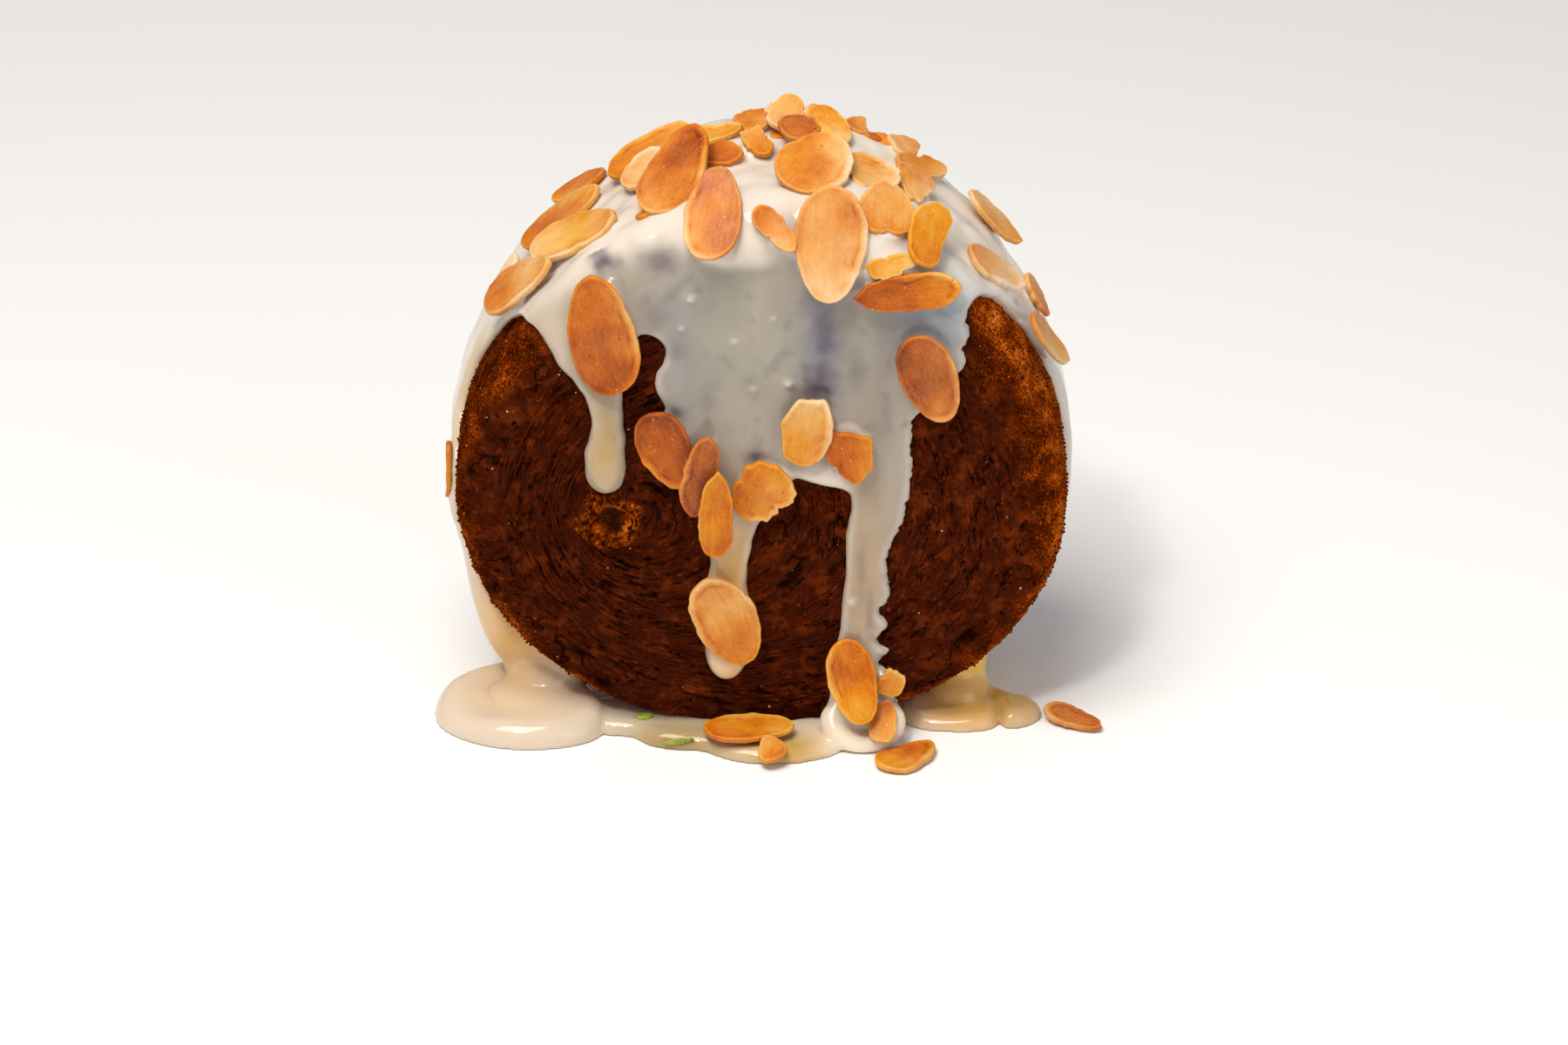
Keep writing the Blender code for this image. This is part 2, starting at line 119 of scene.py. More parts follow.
def columns(*values):
    """The values side by side, one place a row."""
    return np.stack(values, 1)


def places_of(piece):
    values = np.empty(len(piece.data.vertices) * 3, np.float32)
    piece.data.vertices.foreach_get("co", values)
    return values.reshape(-1, 3) / MM


def move_to(piece, points):
    piece.data.vertices.foreach_set("co", (np.asarray(points, np.float32) * MM).ravel())
    piece.data.update()


def paint(piece, **looks):
    """Stores values (n,), vectors (n, 3) or colours (n, 4), one for each point of the piece."""
    for name, values in looks.items():
        values = np.asarray(values, np.float32)
        kind, field = {1: ("FLOAT", "value"), 3: ("FLOAT_VECTOR", "vector"),
                       4: ("FLOAT_COLOR", "color")}[values.shape[1] if values.ndim > 1 else 1]
        piece.data.attributes.new(name, kind, "POINT").data.foreach_set(field, values.ravel())


def nothing_selected():
    for thing in bpy.context.view_layer.objects:
        thing.select_set(False)


def ball(name, segments, rings):
    """A ball to be shaped, with each point's ring (0 at +Z) and angle about Z."""
    nothing_selected()
    bpy.ops.mesh.primitive_uv_sphere_add(segments=segments, ring_count=rings, radius=1)
    made = bpy.context.object
    made.name = name
    made.data.name = name
    values = np.empty(len(made.data.vertices) * 3, np.float32)
    made.data.vertices.foreach_get("co", values)
    x, y, z = values.reshape(-1, 3).T
    ring = np.rint(np.arccos(np.clip(z, -1, 1)) / math.pi * rings).astype(int)
    made.data.shade_smooth()
    return made, ring, np.arctan2(y, x)


def smoothed_round(values, reach, width):
    """Values at even steps about a circle, each with its neighbours' mean."""
    spread = bump_at(np.arange(-reach, reach + 1), width)
    smooth = np.convolve(np.tile(values, 3), spread / spread.sum(), "same")
    return smooth[len(values):2 * len(values)]


def outline_through(points):
    """A closed smooth curve through the points, as an array (n, 2)."""
    points = np.asarray(points, float)
    before, after, beyond = (np.roll(points, turn, axis=0) for turn in (1, -1, -2))
    curve = []
    for f in np.arange(CURVE_STEPS) / CURVE_STEPS:
        curve.append(points + 0.5 * f * (after - before + f * (
            2 * before - 5 * points + 4 * after - beyond
            + f * (3 * (points - after) + beyond - before))))
    return np.stack(curve, axis=1).reshape(-1, 2)


def inside_by(points, u, v):
    """How far each place (u, v) is inside the smooth outline through the points; negative outside."""
    outline = outline_through(points)
    u, v = u.astype(np.float32), v.astype(np.float32)
    nearest = np.full(u.shape, 1e9, np.float32)
    crossed = np.zeros(u.shape, bool)
    for (u0, v0), (u1, v1) in zip(outline, np.roll(outline, -1, axis=0)):
        du, dv = u1 - u0, v1 - v0
        along = np.clip(((u - u0) * du + (v - v0) * dv) / max(du * du + dv * dv, 1e-9), 0, 1)
        gap = (u - u0 - along * du) ** 2 + (v - v0 - along * dv) ** 2
        nearest = np.minimum(nearest, gap)
        if v0 != v1:
            crossed ^= ((v0 > v) != (v1 > v)) & (u < (v - v0) / dv * du + u0)
    return np.where(crossed, 1, -1) * np.sqrt(nearest)


# ---- the roll's form --------------------------------------------------------------------------


def measure_rim():
    """The roll's radius at every degree about its axis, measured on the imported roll."""
    points = places_of(frame["nodes"]["roll"])
    across, depth, up = points[:, 0], points[:, 1], points[:, 2] - CENTRE_HEIGHT
    rim = (np.abs(depth) < HALF_THICKNESS - SOFT_EDGE + 0.1) & (points[:, 2] > 0.01)
    angle = np.degrees(np.arctan2(up[rim], across[rim])) % 360
    radius = np.hypot(across[rim], up[rim])
    order = np.argsort(angle)
    table = np.interp(np.arange(360), angle[order], radius[order], period=360)
    return smoothed_round(table, 12, 5)


RIM = measure_rim()


def rim_radius(around):
    return np.interp(np.degrees(around) % 360, np.arange(361), np.append(RIM, RIM[0]))


def over_dough(x, y, up):
    """How far a place is outside the dough's smooth form; negative inside."""
    radius = np.hypot(x, up)
    out = radius - rim_radius(np.arctan2(up, x)) + SOFT_EDGE
    aside = np.abs(y) - HALF_THICKNESS + SOFT_EDGE
    corner = np.hypot(np.maximum(out, 0), np.maximum(aside, 0))
    return corner + np.minimum(np.maximum(out, aside), 0) - SOFT_EDGE


# ---- the dough --------------------------------------------------------------------------------

EYE = (-25.0, -5.0)             # where the spiral starts, across and up
EYE_RING = 4.0                  # radius of the crumbly ring around it
LIP_SIDE = -58                  # degrees, where the smooth lip is, and its distance from the middle
LIP_REACH = 3.3
FACE_REACH = 45                 # from the middle of a face to where its edge starts to turn
PITTED_REACH = 47               # how far out the small holes go
PITS = 300
LAYERS = 38                     # turns of dough from the eye to the rim
WIDE_CRUST = [(140, 22, 0.8), (12, 42, 1.4)]    # side in degrees, half its width, how much wider
DOUGH_SEGMENTS = 430
FRONT_RINGS, EDGE_RINGS, RIM_RINGS, BACK_RINGS = 112, 14, 18, 62


def dough_paths():
    """For each ring from the front eye to the back eye: part of the face, turn over the edge, depth."""
    quarter = math.pi / 2
    flat = HALF_THICKNESS - SOFT_EDGE
    rows = [(part, 0, -1) for part in np.linspace(0, 1, FRONT_RINGS)]
    rows += [(1, turn, -1) for turn in np.linspace(0, quarter, EDGE_RINGS + 1)[1:]]
    rows += [(1, quarter, depth / flat) for depth in np.linspace(-flat, flat, RIM_RINGS + 1)[1:]]
    rows += [(1, turn, 1) for turn in np.linspace(quarter, 0, EDGE_RINGS + 1)[1:]]
    rows += [(part, 0, 1) for part in np.linspace(1, 0, BACK_RINGS)[1:]]
    return np.array(rows)


def pits(x, up, seed, count, across, depth):
    """Small holes scattered over a face: how deep each place is sunk."""
    rng = np.random.RandomState(seed)
    sunk = np.zeros_like(x)
    for _ in range(count):
        angle, reach = rng.uniform(0, math.tau), PITTED_REACH * math.sqrt(rng.uniform(0.01, 1))
        width = across * rng.uniform(0.5, 1.2)
        near = np.hypot(x - reach * math.cos(angle), up - reach * math.sin(angle))
        sunk = np.maximum(sunk, depth * rng.uniform(0.5, 1) * (1 - rise_between(0.5, 1.1, near / width)))
    return sunk


def build_dough():
    rows = dough_paths()
    dough, ring, around = ball("dough", DOUGH_SEGMENTS, len(rows) - 1)
    part, turn, side = rows[ring].T
    radius = rim_radius(around) - SOFT_EDGE
    x = part * radius * np.cos(around) + (1 - part) * EYE[0]
    up = part * radius * np.sin(around) + (1 - part) * EYE[1]
    out = np.sin(turn)
    x = x + SOFT_EDGE * out * np.cos(around)
    up = up + SOFT_EDGE * out * np.sin(around)
    flat = HALF_THICKNESS - SOFT_EDGE
    y = np.where(np.abs(side) < 1, side * flat, np.sign(side) * (flat + SOFT_EDGE * np.cos(turn)))
    normal = columns(out * np.cos(around), np.sign(side) * np.cos(turn), out * np.sin(around))

    spot = columns(x, y, up)
    reach = np.hypot(x - EYE[0], up - EYE[1])
    angle = np.degrees(around)
    wide = np.maximum(*[much * bump_at(angle - side, half) for side, half, much in WIDE_CRUST])
    inward = (1 - part) * FACE_REACH + (math.pi / 2 - turn) * SOFT_EDGE
    inward = inward + 2.2 * cloud(spot, 5, 3) + 1.0 * cloud(spot, 1.6, 18)
    crust = 1 - rise_between(3.0 + 4.0 * wide, 7.0 + 4.0 * wide, inward)
    layer = part * LAYERS + 0.5 * cloud(spot, 9, 4)

    def strands(length, width, seed):
        return cloud(columns(x / length, up / length + side * 7, layer / width), 1, seed)

    groove = np.abs(2 * (layer % 1) - 1) ** 5 * rise_between(-0.5, 0.7, strands(7, 2.5, 5))
    slit = rise_between(0.56, 0.70, strands(3.6, 0.55, 6)) * rise_between(-0.3, 0.4, cloud(spot, 11, 7))
    hole = pits(x, up, 8, PITS, 0.5, 0.7) * (part < 1)
    crumb = 0.14 * strands(2.6, 0.5, 9) + 0.12 * strands(1.3, 0.45, 10) + 0.10 * cloud(spot, 1.1, 19)
    crumb = crumb + 0.20 * cloud(spot, 5, 11) - 0.22 * groove - 0.6 * slit - hole - 0.16
    coarse = rise_between(0.30, 0.7, cloud(spot, 1.25, 15))
    rough = 0.24 * cloud(spot, 1.4, 12) + 0.20 * cloud(spot, 0.8, 13) + 0.28 * cloud(spot, 5, 14)
    rough = (rough - 0.25 * coarse) * (1 - 0.5 * rise_between(0.5, 1.3, turn)) - 0.1
    lift = crumb * (1 - crust) + rough * crust

    # The eye: a crumbly ring around a sunken middle, with a smooth bright lip at its lower right.
    ragged = 0.7 * cloud(spot, 2.0, 16) + 0.6 * cloud(spot, 0.9, 17)
    rays = cloud(columns(angle / 8, reach / 4, 0 * x), 1, 20) * bump_at(angle - 100, 50)
    lift = lift * rise_between(2.0, 6.0, reach + 40 * (part >= 1))
    ring_rise = (1.1 + 1.1 * ragged + 0.9 * rays) * bump_at(reach - EYE_RING - 0.6 * ragged, 1.5)
    eye_hole = 1.1 * (1 - rise_between(0.9, 2.6, reach + 0.9 * ragged))
    lip = bump_at(angle - LIP_SIDE, 32) * bump_at(reach - LIP_REACH, 0.9)
    on_face = part < 1
    shade = 0.7 * bump_at(reach - 6.6, 0.9) * bump_at(angle + 75, 45)
    lift = lift + on_face * (ring_rise * (1 - 0.5 * lip) + 0.8 * lip - eye_hole - shade)
    moved = spot + normal * lift[:, None]
    moved[:, 2] = np.maximum(moved[:, 2] + CENTRE_HEIGHT, 0)
    move_to(dough, moved)

    # The colour is darkened in the slits, holes and grooves and in the crust's pits: painted shade in these
    # recesses.
    sunk = np.clip(0.9 * slit + 1.2 * hole + 0.3 * groove, 0, 1) * (1 - crust) + 0.35 * crust * coarse
    # The crust is painted lighter over the rounded edge, less so on the left side: partly its own browning,
    # partly painted light where that edge falls into shade.
    edge = rise_between(0.35, 1.2, turn) * (1.2 - 1.3 * bump_at(angle % 360 - 168, 36))
    eye_share = on_face * (1 - rise_between(4.9, 6.2, reach + 1.1 * ragged))
    # The eye's sunken middle is painted darker: painted shade in the hole.
    paint(dough, layers=columns(x / 9, up / 9 + 3 * side, layer * 0.6), crust=crust, sunk=sunk,
          edge=edge, eye=eye_share, lip=on_face * lip,
          burnt=on_face * (1 - rise_between(0.8, 2.5, reach + 0.9 * ragged)))
    return dough, moved, normal, np.maximum(crust, 0.6 * eye_share * rise_between(2.6, 3.2, reach))


# ---- the icing --------------------------------------------------------------------------------

FRONT_OUTLINE = [  # what the icing covers of the front, across and up
    (-64, 30.6), (-50, 30.5), (-42, 30.4), (-38.6, 30.1), (-36.0, 28.5), (-34.5, 25.9),
    (-32.8, 22.8), (-30.6, 19.9), (-28.9, 17.0), (-27.9, 12.5), (-28.9, 7.0),
    (-28.7, 3.0), (-27.6, 0.9), (-25.6, 0.1), (-23.4, 1.1), (-22.4, 3.6), (-22.4, 8),
    (-22.7, 16.5), (-21.5, 22), (-20.9, 26.2),
    (-19.6, 28.3), (-17.4, 27.8), (-15.9, 26), (-16.2, 23.4), (-17.4, 21.4), (-17.3, 18.6),
    (-16.1, 15.6), (-13.8, 9.5), (-10, 3), (-8.9, -5.5), (-8.6, -15), (-9.1, -22), (-9.5, -28.5),
    (-8.6, -32), (-6.2, -33.6), (-3.8, -32.4), (-2.8, -29.4), (-2.9, -22), (-2.6, -13), (-0.9, -6.5),
    (2.1, -1.0), (4.6, 2.6), (9.5, 1.9), (13.4, 0.2), (14.1, -2.4), (13.5, -8), (13.2, -15),
    (12.5, -25), (11.6, -31), (10.8, -38), (10.3, -50), (22, -50), (21.2, -36.5), (19.0, -31.4),
    (20.5, -29.4), (18.7, -27.1), (20.3, -24.2), (18.9, -22.0), (20.7, -18.6), (20.0, -12),
    (22.5, -5.5), (24.0, 3), (23.9, 11), (26, 15.5), (31.4, 21.6), (32.6, 23.6), (32.0, 25.2),
    (33.0, 27.8), (32.4, 30.2), (33.2, 32.6), (35.4, 34.1), (39, 34.6), (45, 34.6), (64, 34.6),
    (64, 66), (-64, 66)]
BACK_OUTLINE = [
    (-64, 4), (-51, 8), (-48, 15), (-45, 13), (-41.5, 5.6), (-37.5, 11), (-33, 16.4), (-28, 11),
    (-25, 8.2), (-20.5, 12), (-17.2, 4), (-16.2, -14), (-16.5, -50), (-7.5, -50), (-7, -30),
    (-6.5, -12), (-4.5, 1), (-1, 5), (1.6, -5), (3, -22), (5.8, -26.2), (8.8, -22.5), (10, -6),
    (13, 8), (18, 11.5), (22, 6), (24, -7), (26.5, -12), (29, -7.4), (31, 8), (34, 17), (38, 23),
    (43, 21.4), (47.5, 12), (51, -2), (64, -2), (64, 66), (-64, 66)]
LEFT_BAND = [  # what it covers of the left side, front to back and up
    (-24, 46), (-24, 30.4), (-17, 29.8), (-12.5, 28.4), (-8.3, 26.0), (-4.7, 23.4), (-2.9, 20.6),
    (-0.9, 17.0), (0.4, 12), (-1, 5), (-7.5, 2.5), (-11.5, -3), (-11.8, -9), (-9, -13.5),
    (-7.5, -19), (-9, -27), (-11, -38), (3, -38),
    (6, -28), (9, -18), (12, -6), (14, 8), (15, 22), (15, 46)]
RIGHT_BAND = [
    (-24, 46), (-24, 35.8), (-17, 35.2), (-14.4, 33.8), (-11.9, 31.6), (-9.6, 29.3), (-7.6, 26.6),
    (-5.5, 24), (-4.1, 21.4), (-3.2, 18.6), (-0.8, 14), (0.8, 8), (1, 0), (-1, -9), (-3, -16),
    (-7, -27), (-9, -39), (1, -39), (4, -27), (8, -15), (10, -5), (12, 4), (14, 16), (15, 46)]
BANDS_START = 30                # how far from the middle the side bands begin
ARCH_ROUNDNESS = 5.0            # how softly the bands and the faces' outlines meet over bare dough

# Middle (across, front to back, height), half sizes, then how softly it joins the rest.
DROPS = [
    ((-25.6, -20.5, 50.4), (2.7, 2.3, 4.6), 0.9),   # end of the left drip
    ((-6.2, -20.6, 15.5), (3.0, 2.3, 4.0), 1.2),    # end of the middle drip
    ((16.2, -19.6, 1.5), (4.6, 4.0, 6.5), 1.0),     # foot of the right drip
    ((-12, 24, 2), (6.5, 5, 3.2), 3.0),             # foot of the back drip
    ((-46.3, -8.0, 28), (2.6, 3.6, 7.5), 4.0),      # left stream, from the rim to its puddle
    ((-43.6, -8.0, 19), (3.4, 4.0, 9), 4.0),
    ((-38.5, -6, 11), (4.2, 3.4, 9), 4.0),
    ((-36, -8, 4), (6.0, 5.0, 4.5), 3.0),
    ((-38.5, -11.5, 4.0), (7.5, 5.6, 1.5), 0.5),    # the fold where it runs out over the puddle
    ((33.4, -5.5, 8), (3.8, 3.4, 8), 4.0),          # right stream
    ((32, -8, 2.5), (5.5, 5.0, 3.2), 2.0)]
BUBBLES = [  # small round lumps in the sheet: across, up, radius
    (-1.7, 19.1, 0.75), (4.0, 19.9, 0.85), (-11.6, 35.0, 0.9), (14.3, -19.6, 0.9),
    (-13.2, 29.8, 0.6), (-4.6, 27.5, 0.6), (16.8, 10.6, 0.6), (-8.2, 9.4, 0.55), (1.6, 31.5, 0.5)]

# The rope of icing that has coiled around the foot of the right drip, leaning on the roll.
FOOT = (16.3, -22.3, 4.2)
FOOT_LEAN = math.radians(46)
FOOT_ACROSS, FOOT_ALONG, FOOT_ROPE = 4.9, 3.6, 1.65

# Puddles: height, roundness of the brim, then the outline across and front to back.
PUDDLES = [
    (4.0, 3.4, [(-55, -12), (-52.5, -4.5), (-47, -0.5), (-38, 0.5), (-31, -3), (-27.4, -10),
                (-26.2, -17), (-28.2, -21.4), (-33, -23.9), (-40, -24.7), (-47, -22.9), (-53, -18.3)]),
    (2.4, 2.2, [(-29, -11), (-27, -19), (-22, -20.3), (-18.5, -23.4), (-14, -24.6), (-10, -25.2),
                (-6, -28), (-2, -29.3), (3, -29.5), (7, -28.8), (12, -26), (14, -20), (12, -10),
                (-8, -9), (-18, -8)]),
    (2.5, 2.2, [(23, -14), (26, -17.6), (33, -18.6), (37.8, -17.4), (39.2, -13.6), (38, -8), (34, -3),
                (28, -2), (24, -8)]),
    (3.1, 2.5, [(38.4, -11.5), (39.6, -16.6), (42.2, -17.2), (45.2, -15.2), (46.2, -12.2),
                (44.6, -9), (41.4, -7.4), (38.6, -5.4), (36, -6)]),
    (2.8, 2.4, [(-21, 15), (-8, 14), (-2, 19), (-3, 26), (-10, 31), (-18, 29), (-22, 22)])]

SHEET, CROWN, SIDES = 0.85, 2.1, 1.25   # how thick the coat is on the faces, the top and the sides
BROW = ((-40, -28, -20, 12, 26, 45), (39, 39, 41.5, 41.5, 35.5, 34))    # the sheet's top: across, up
SWELLS = [  # where the sheet is thicker: across, up, reach, extra
    (-40, 27, 9, 0.7), (-33, 26, 7, 0.7), (-28, 15, 6, 0.7), (-26, 8, 5, 0.6),
    (-44, 18, 8, 0.5), (7, 3.5, 4.5, 0.8), (12, 2, 3.5, 0.8), (0, 1, 4.5, 0.5), (-5, -6, 5, 0.7),
    (-6, -16, 6, 0.6), (-6, -26, 6, 0.6), (15.5, -6, 5, 0.35), (15.5, -18, 5, 0.35),
    (16, -30, 6, 0.5), (-12, 10, 4, 0.3), (38, 38, 7, 0.7), (46, 26, 6, 0.6), (30, 33, 5, 0.4)]
UNDER_DOUGH = 0.8               # how far the icing's inner side lies inside the dough
BED_SHARE = 0.84                # size of the bed under an almond slice, against the slice
HIGH_SLICE = 3.6                # a slice whose middle is farther over the dough gets no bed
ICING_STEP = 0.5                # side of a cell of the field
ICING_SHARE = 0.6               # how many of its faces the icing keeps, most where it bends
FIELD_LOW = (-57.5, -33.5, -1.0)
FIELD_HIGH = (54.5, 34.0, 103.0)


def blend_min(a, b, soft):
    """The lower of two fields, with a soft join."""
    near = np.maximum(soft - np.abs(a - b), 0) / soft
    return np.minimum(a, b) - near * near * soft / 4


def blend_max(a, b, soft):
    return -blend_min(-a, -b, soft)


def slab(aside, above, brim):
    """The field of a flat thing with a round brim."""
    corner = np.hypot(np.maximum(aside, 0), np.maximum(above, 0))
    return corner + (np.minimum(np.maximum(aside, above), 0) - brim)


def coat_rise(x, y, up):
    """How thick the coat is: a thin sheet on the faces, thick over the top."""
    spot = columns(x, y, up)
    brow = np.interp(x, *BROW) + 1.6 * cloud(spot, 6, 36)
    face = rise_between(12, 20.5, np.abs(y)) * (1 - rise_between(brow - 3.0, brow + 4.0, up))
    rise = CROWN + (SHEET - CROWN) * face
    rise = rise - 0.5 * (1 - face) * (1 - rise_between(-10, 20, up))
    folds = cloud(columns(y / 3.6, up / 20, 9 * np.sign(x)), 1, 37)
    running = rise_between(20, 30, np.abs(x)) * (1 - face) * rise_between(-35, 5, up)
    rise = rise + 0.45 * running * folds
    aside = rise_between(36, 46, np.abs(x))
    rise = rise * (1 - aside) + (SIDES + 0.16 * folds) * aside
    for across, height, reach, extra in SWELLS:
        rise = rise + extra * face * (y < 0) * bump_at(np.hypot(x - across, up - height), reach)
    return rise + 0.5 * face * (y > 0)


def slice_frame(name):
    """Middle, axes (along, across, out) and points of a packed almond slice."""
    points = np.unique(np.round(places_of(frame["nodes"][name]), 3), axis=0)
    middle = points.mean(0)
    vectors = np.linalg.eigh(np.cov((points - middle).T))[1]
    along, across, out = vectors[:, 2], vectors[:, 1], vectors[:, 0]
    up = middle[2] - CENTRE_HEIGHT
    reach = np.hypot(middle[0], up)
    inner = min(reach, 34) / max(reach, 1e-6)
    outwards = middle - np.array([middle[0] * inner, 0, up * inner + CENTRE_HEIGHT])
    if middle[2] < 7 and middle[1] < -HALF_THICKNESS:
        outwards = np.array([0, -0.5, 1.0])
    if out @ outwards < 0:
        out = -out
    local = (points - middle) @ columns(along, across, out)
    narrow = [np.ptp(local[end * local[:, 0] > 0.45 * np.abs(local[:, 0]).max(), 1]) for end in (-1, 1)]
    if narrow[1] > narrow[0]:
        along = -along
    across = np.cross(out, along)
    axes = columns(along, across, out)
    return middle, axes, (points - middle) @ axes


def icing_field():
    """The icing as a field that is negative inside it."""
    axes = [np.arange(low, high, ICING_STEP, dtype=np.float32)
            for low, high in zip(FIELD_LOW, FIELD_HIGH)]
    x, y, z = np.meshgrid(*axes, indexing="ij", sparse=True)
    up = z - CENTRE_HEIGHT
    flat_x, flat_up = np.meshgrid(axes[0], axes[2] - CENTRE_HEIGHT, indexing="ij")
    side_y, side_up = np.meshgrid(axes[1], axes[2] - CENTRE_HEIGHT, indexing="ij")
    teeth = np.sin(flat_up * 2.1) * np.sin(flat_up * 0.83) + 0.7 * np.sin(flat_up * 4.3 + 1)
    ragged = 0.20 * rise_between(14, 18, flat_x) * rise_between(38, 30, flat_up) * teeth
    front = inside_by(FRONT_OUTLINE, flat_x, flat_up)
    wobble = cloud(columns(flat_x.ravel(), 0 * flat_x.ravel(), flat_up.ravel()), 2.4, 31)
    front = front + 0.22 * wobble.reshape(flat_x.shape) + ragged
    back = inside_by(BACK_OUTLINE, flat_x, flat_up)
    left = inside_by(LEFT_BAND, side_y, side_up)
    right = inside_by(RIGHT_BAND, side_y, side_up)

    over = over_dough(x, y, up)
    to_back = rise_between(-8, 8, y)
    covered = front[:, None, :] * (1 - to_back) + back[:, None, :] * to_back
    covered = blend_max(covered, np.minimum(left[None], -BANDS_START - x), ARCH_ROUNDNESS)
    covered = blend_max(covered, np.minimum(right[None], x - BANDS_START), ARCH_ROUNDNESS)
    near = np.abs(over) < 5
    rise = np.full(over.shape, SHEET, np.float32)
    where = np.argwhere(near)
    spot = np.stack([axis[index] for axis, index in zip(axes, where.T)], 1)
    thick = coat_rise(spot[:, 0], spot[:, 1], spot[:, 2] - CENTRE_HEIGHT)
    waves = 0.35 * cloud(spot, 14, 32) + 0.16 * cloud(spot, 6, 33)
    thick = thick * (1 + waves * rise_between(0.8, 2.0, thick) + 0.10 * cloud(spot, 3, 34))
    rise[near] = thick
    edge = np.minimum(rise, 1.6)
    field = slab(edge - covered, over - rise + edge, edge)

    for (across, depth, height), (a, b, c), soft in DROPS:
        scaled = np.sqrt(((x - across) / a) ** 2 + ((y - depth) / b) ** 2 + ((z - height) / c) ** 2)
        field = blend_min(field, (scaled - 1) * min(a, b, c), soft)
    for across, height, radius in BUBBLES:
        gap = np.sqrt((x - across) ** 2 + (y + HALF_THICKNESS + SHEET - 0.15) ** 2 + (up - height) ** 2)
        field = blend_min(field, gap - radius, 0.6)
    slope = (y - FOOT[1]) * math.cos(FOOT_LEAN) + (z - FOOT[2]) * math.sin(FOOT_LEAN)
    aside = (z - FOOT[2]) * math.cos(FOOT_LEAN) - (y - FOOT[1]) * math.sin(FOOT_LEAN)
    coil = (np.hypot((x - FOOT[0]) / FOOT_ACROSS, slope / FOOT_ALONG) - 1) * FOOT_ALONG
    field = blend_min(field, np.hypot(coil, aside) - FOOT_ROPE, 0.7)
    flat_x, flat_y = np.meshgrid(axes[0], axes[1], indexing="ij")
    for height, brim, outline in PUDDLES:
        inside = inside_by(outline, flat_x, flat_y)
        spot = columns(flat_x.ravel(), flat_y.ravel(), 0 * flat_x.ravel())
        uneven = (0.16 * cloud(spot, 8, 35)).reshape(flat_x.shape)
        tall = (height * (1 + uneven))[..., None]
        field = blend_min(field, slab(brim - inside[..., None], z - tall + brim, brim), 0.6)

    for name in SLICES:
        bed_slice(field, axes, name)
    field = np.maximum(field, -over - UNDER_DOUGH)
    return np.maximum(field, -z), axes


def bed_slice(field, axes, name):
    """Fills the space under an almond slice, so that it lies in the icing, and clears it above."""
    middle, turned, local = slice_frame(name)
    long, wide = np.abs(local[:, 0]).max(), np.abs(local[:, 1]).max()
    if over_dough(middle[0], middle[1], middle[2] - CENTRE_HEIGHT) > HIGH_SLICE:
        return
    low, high = middle - long - 2, middle + long + 2
    cut = tuple(slice(*np.searchsorted(axis, [a, b])) for axis, a, b in zip(axes, low, high))
    x, y, z = np.meshgrid(*[axis[part] for axis, part in zip(axes, cut)], indexing="ij", sparse=True)
    x, y, z = x - middle[0], y - middle[1], z - middle[2]
    u, v, w = (x * turned[0, k] + y * turned[1, k] + z * turned[2, k] for k in range(3))
    w = w - np.polyval(np.polyfit(local[:, 0], local[:, 2], 2), u)
    aside = (np.hypot(u / (BED_SHARE * long), v / (BED_SHARE * wide)) - 1) * wide * BED_SHARE
    old = field[cut]
    bed = np.maximum(np.maximum(aside, w + 0.25), -w - 3.2) + 2 * np.maximum(old - 0.7, 0)
    field[cut] = np.maximum(blend_min(old, bed, 1.2), np.minimum(np.minimum(-aside, w + 0.2), 2.5 - w))


def skin_of(field, axes):
    """The closed surface where the field is zero: points, and faces of four that look outwards."""
    inside = field < 0
    corners = [np.array(corner) for corner in product((0, 1), repeat=3)]
    count = sum(inside[tuple(slice(a, n - 1 + a) for a, n in zip(corner, inside.shape))].astype(np.int8)
                for corner in corners)
    active = (count > 0) & (count < 8)
    cells = np.argwhere(active)
    number = np.full(active.shape, -1, np.int64)
    number[active] = np.arange(len(cells))
    total = np.zeros((len(cells), 3))
    crossings = np.zeros(len(cells))
    for start, end in product(corners, repeat=2):
        if (end - start).sum() != 1 or (end - start).min() < 0:
            continue
        one = field[tuple((cells + start).T)]
        two = field[tuple((cells + end).T)]
        crosses = (one < 0) != (two < 0)
        part = np.where(crosses, one / np.where(crosses, one - two, 1), 0)
        total += crosses[:, None] * (start + part[:, None] * (end - start))
        crossings += crosses
    points = cells + total / crossings[:, None]
    points = np.array([axis[0] for axis in axes]) + points * ICING_STEP
    faces = []
    for k in range(3):
        step = np.eye(3, dtype=int)[k]
        first, second = np.eye(3, dtype=int)[(k + 1) % 3], np.eye(3, dtype=int)[(k + 2) % 3]
        lower = inside[tuple(slice(0, n - s) for n, s in zip(inside.shape, step))]
        upper = inside[tuple(slice(s, n) for n, s in zip(inside.shape, step))]
        edges = np.argwhere(lower != upper)
        edges = edges[(edges @ first > 0) & (edges @ second > 0)]
        leaves = lower[tuple(edges.T)]
        around = [number[tuple((edges - shift).T)] for shift in
                  (0 * first, first, first + second, second)]
        quad = np.stack(around, 1)
        faces.append(np.where(leaves[:, None], quad, quad[:, ::-1]))
    return points, np.concatenate(faces)


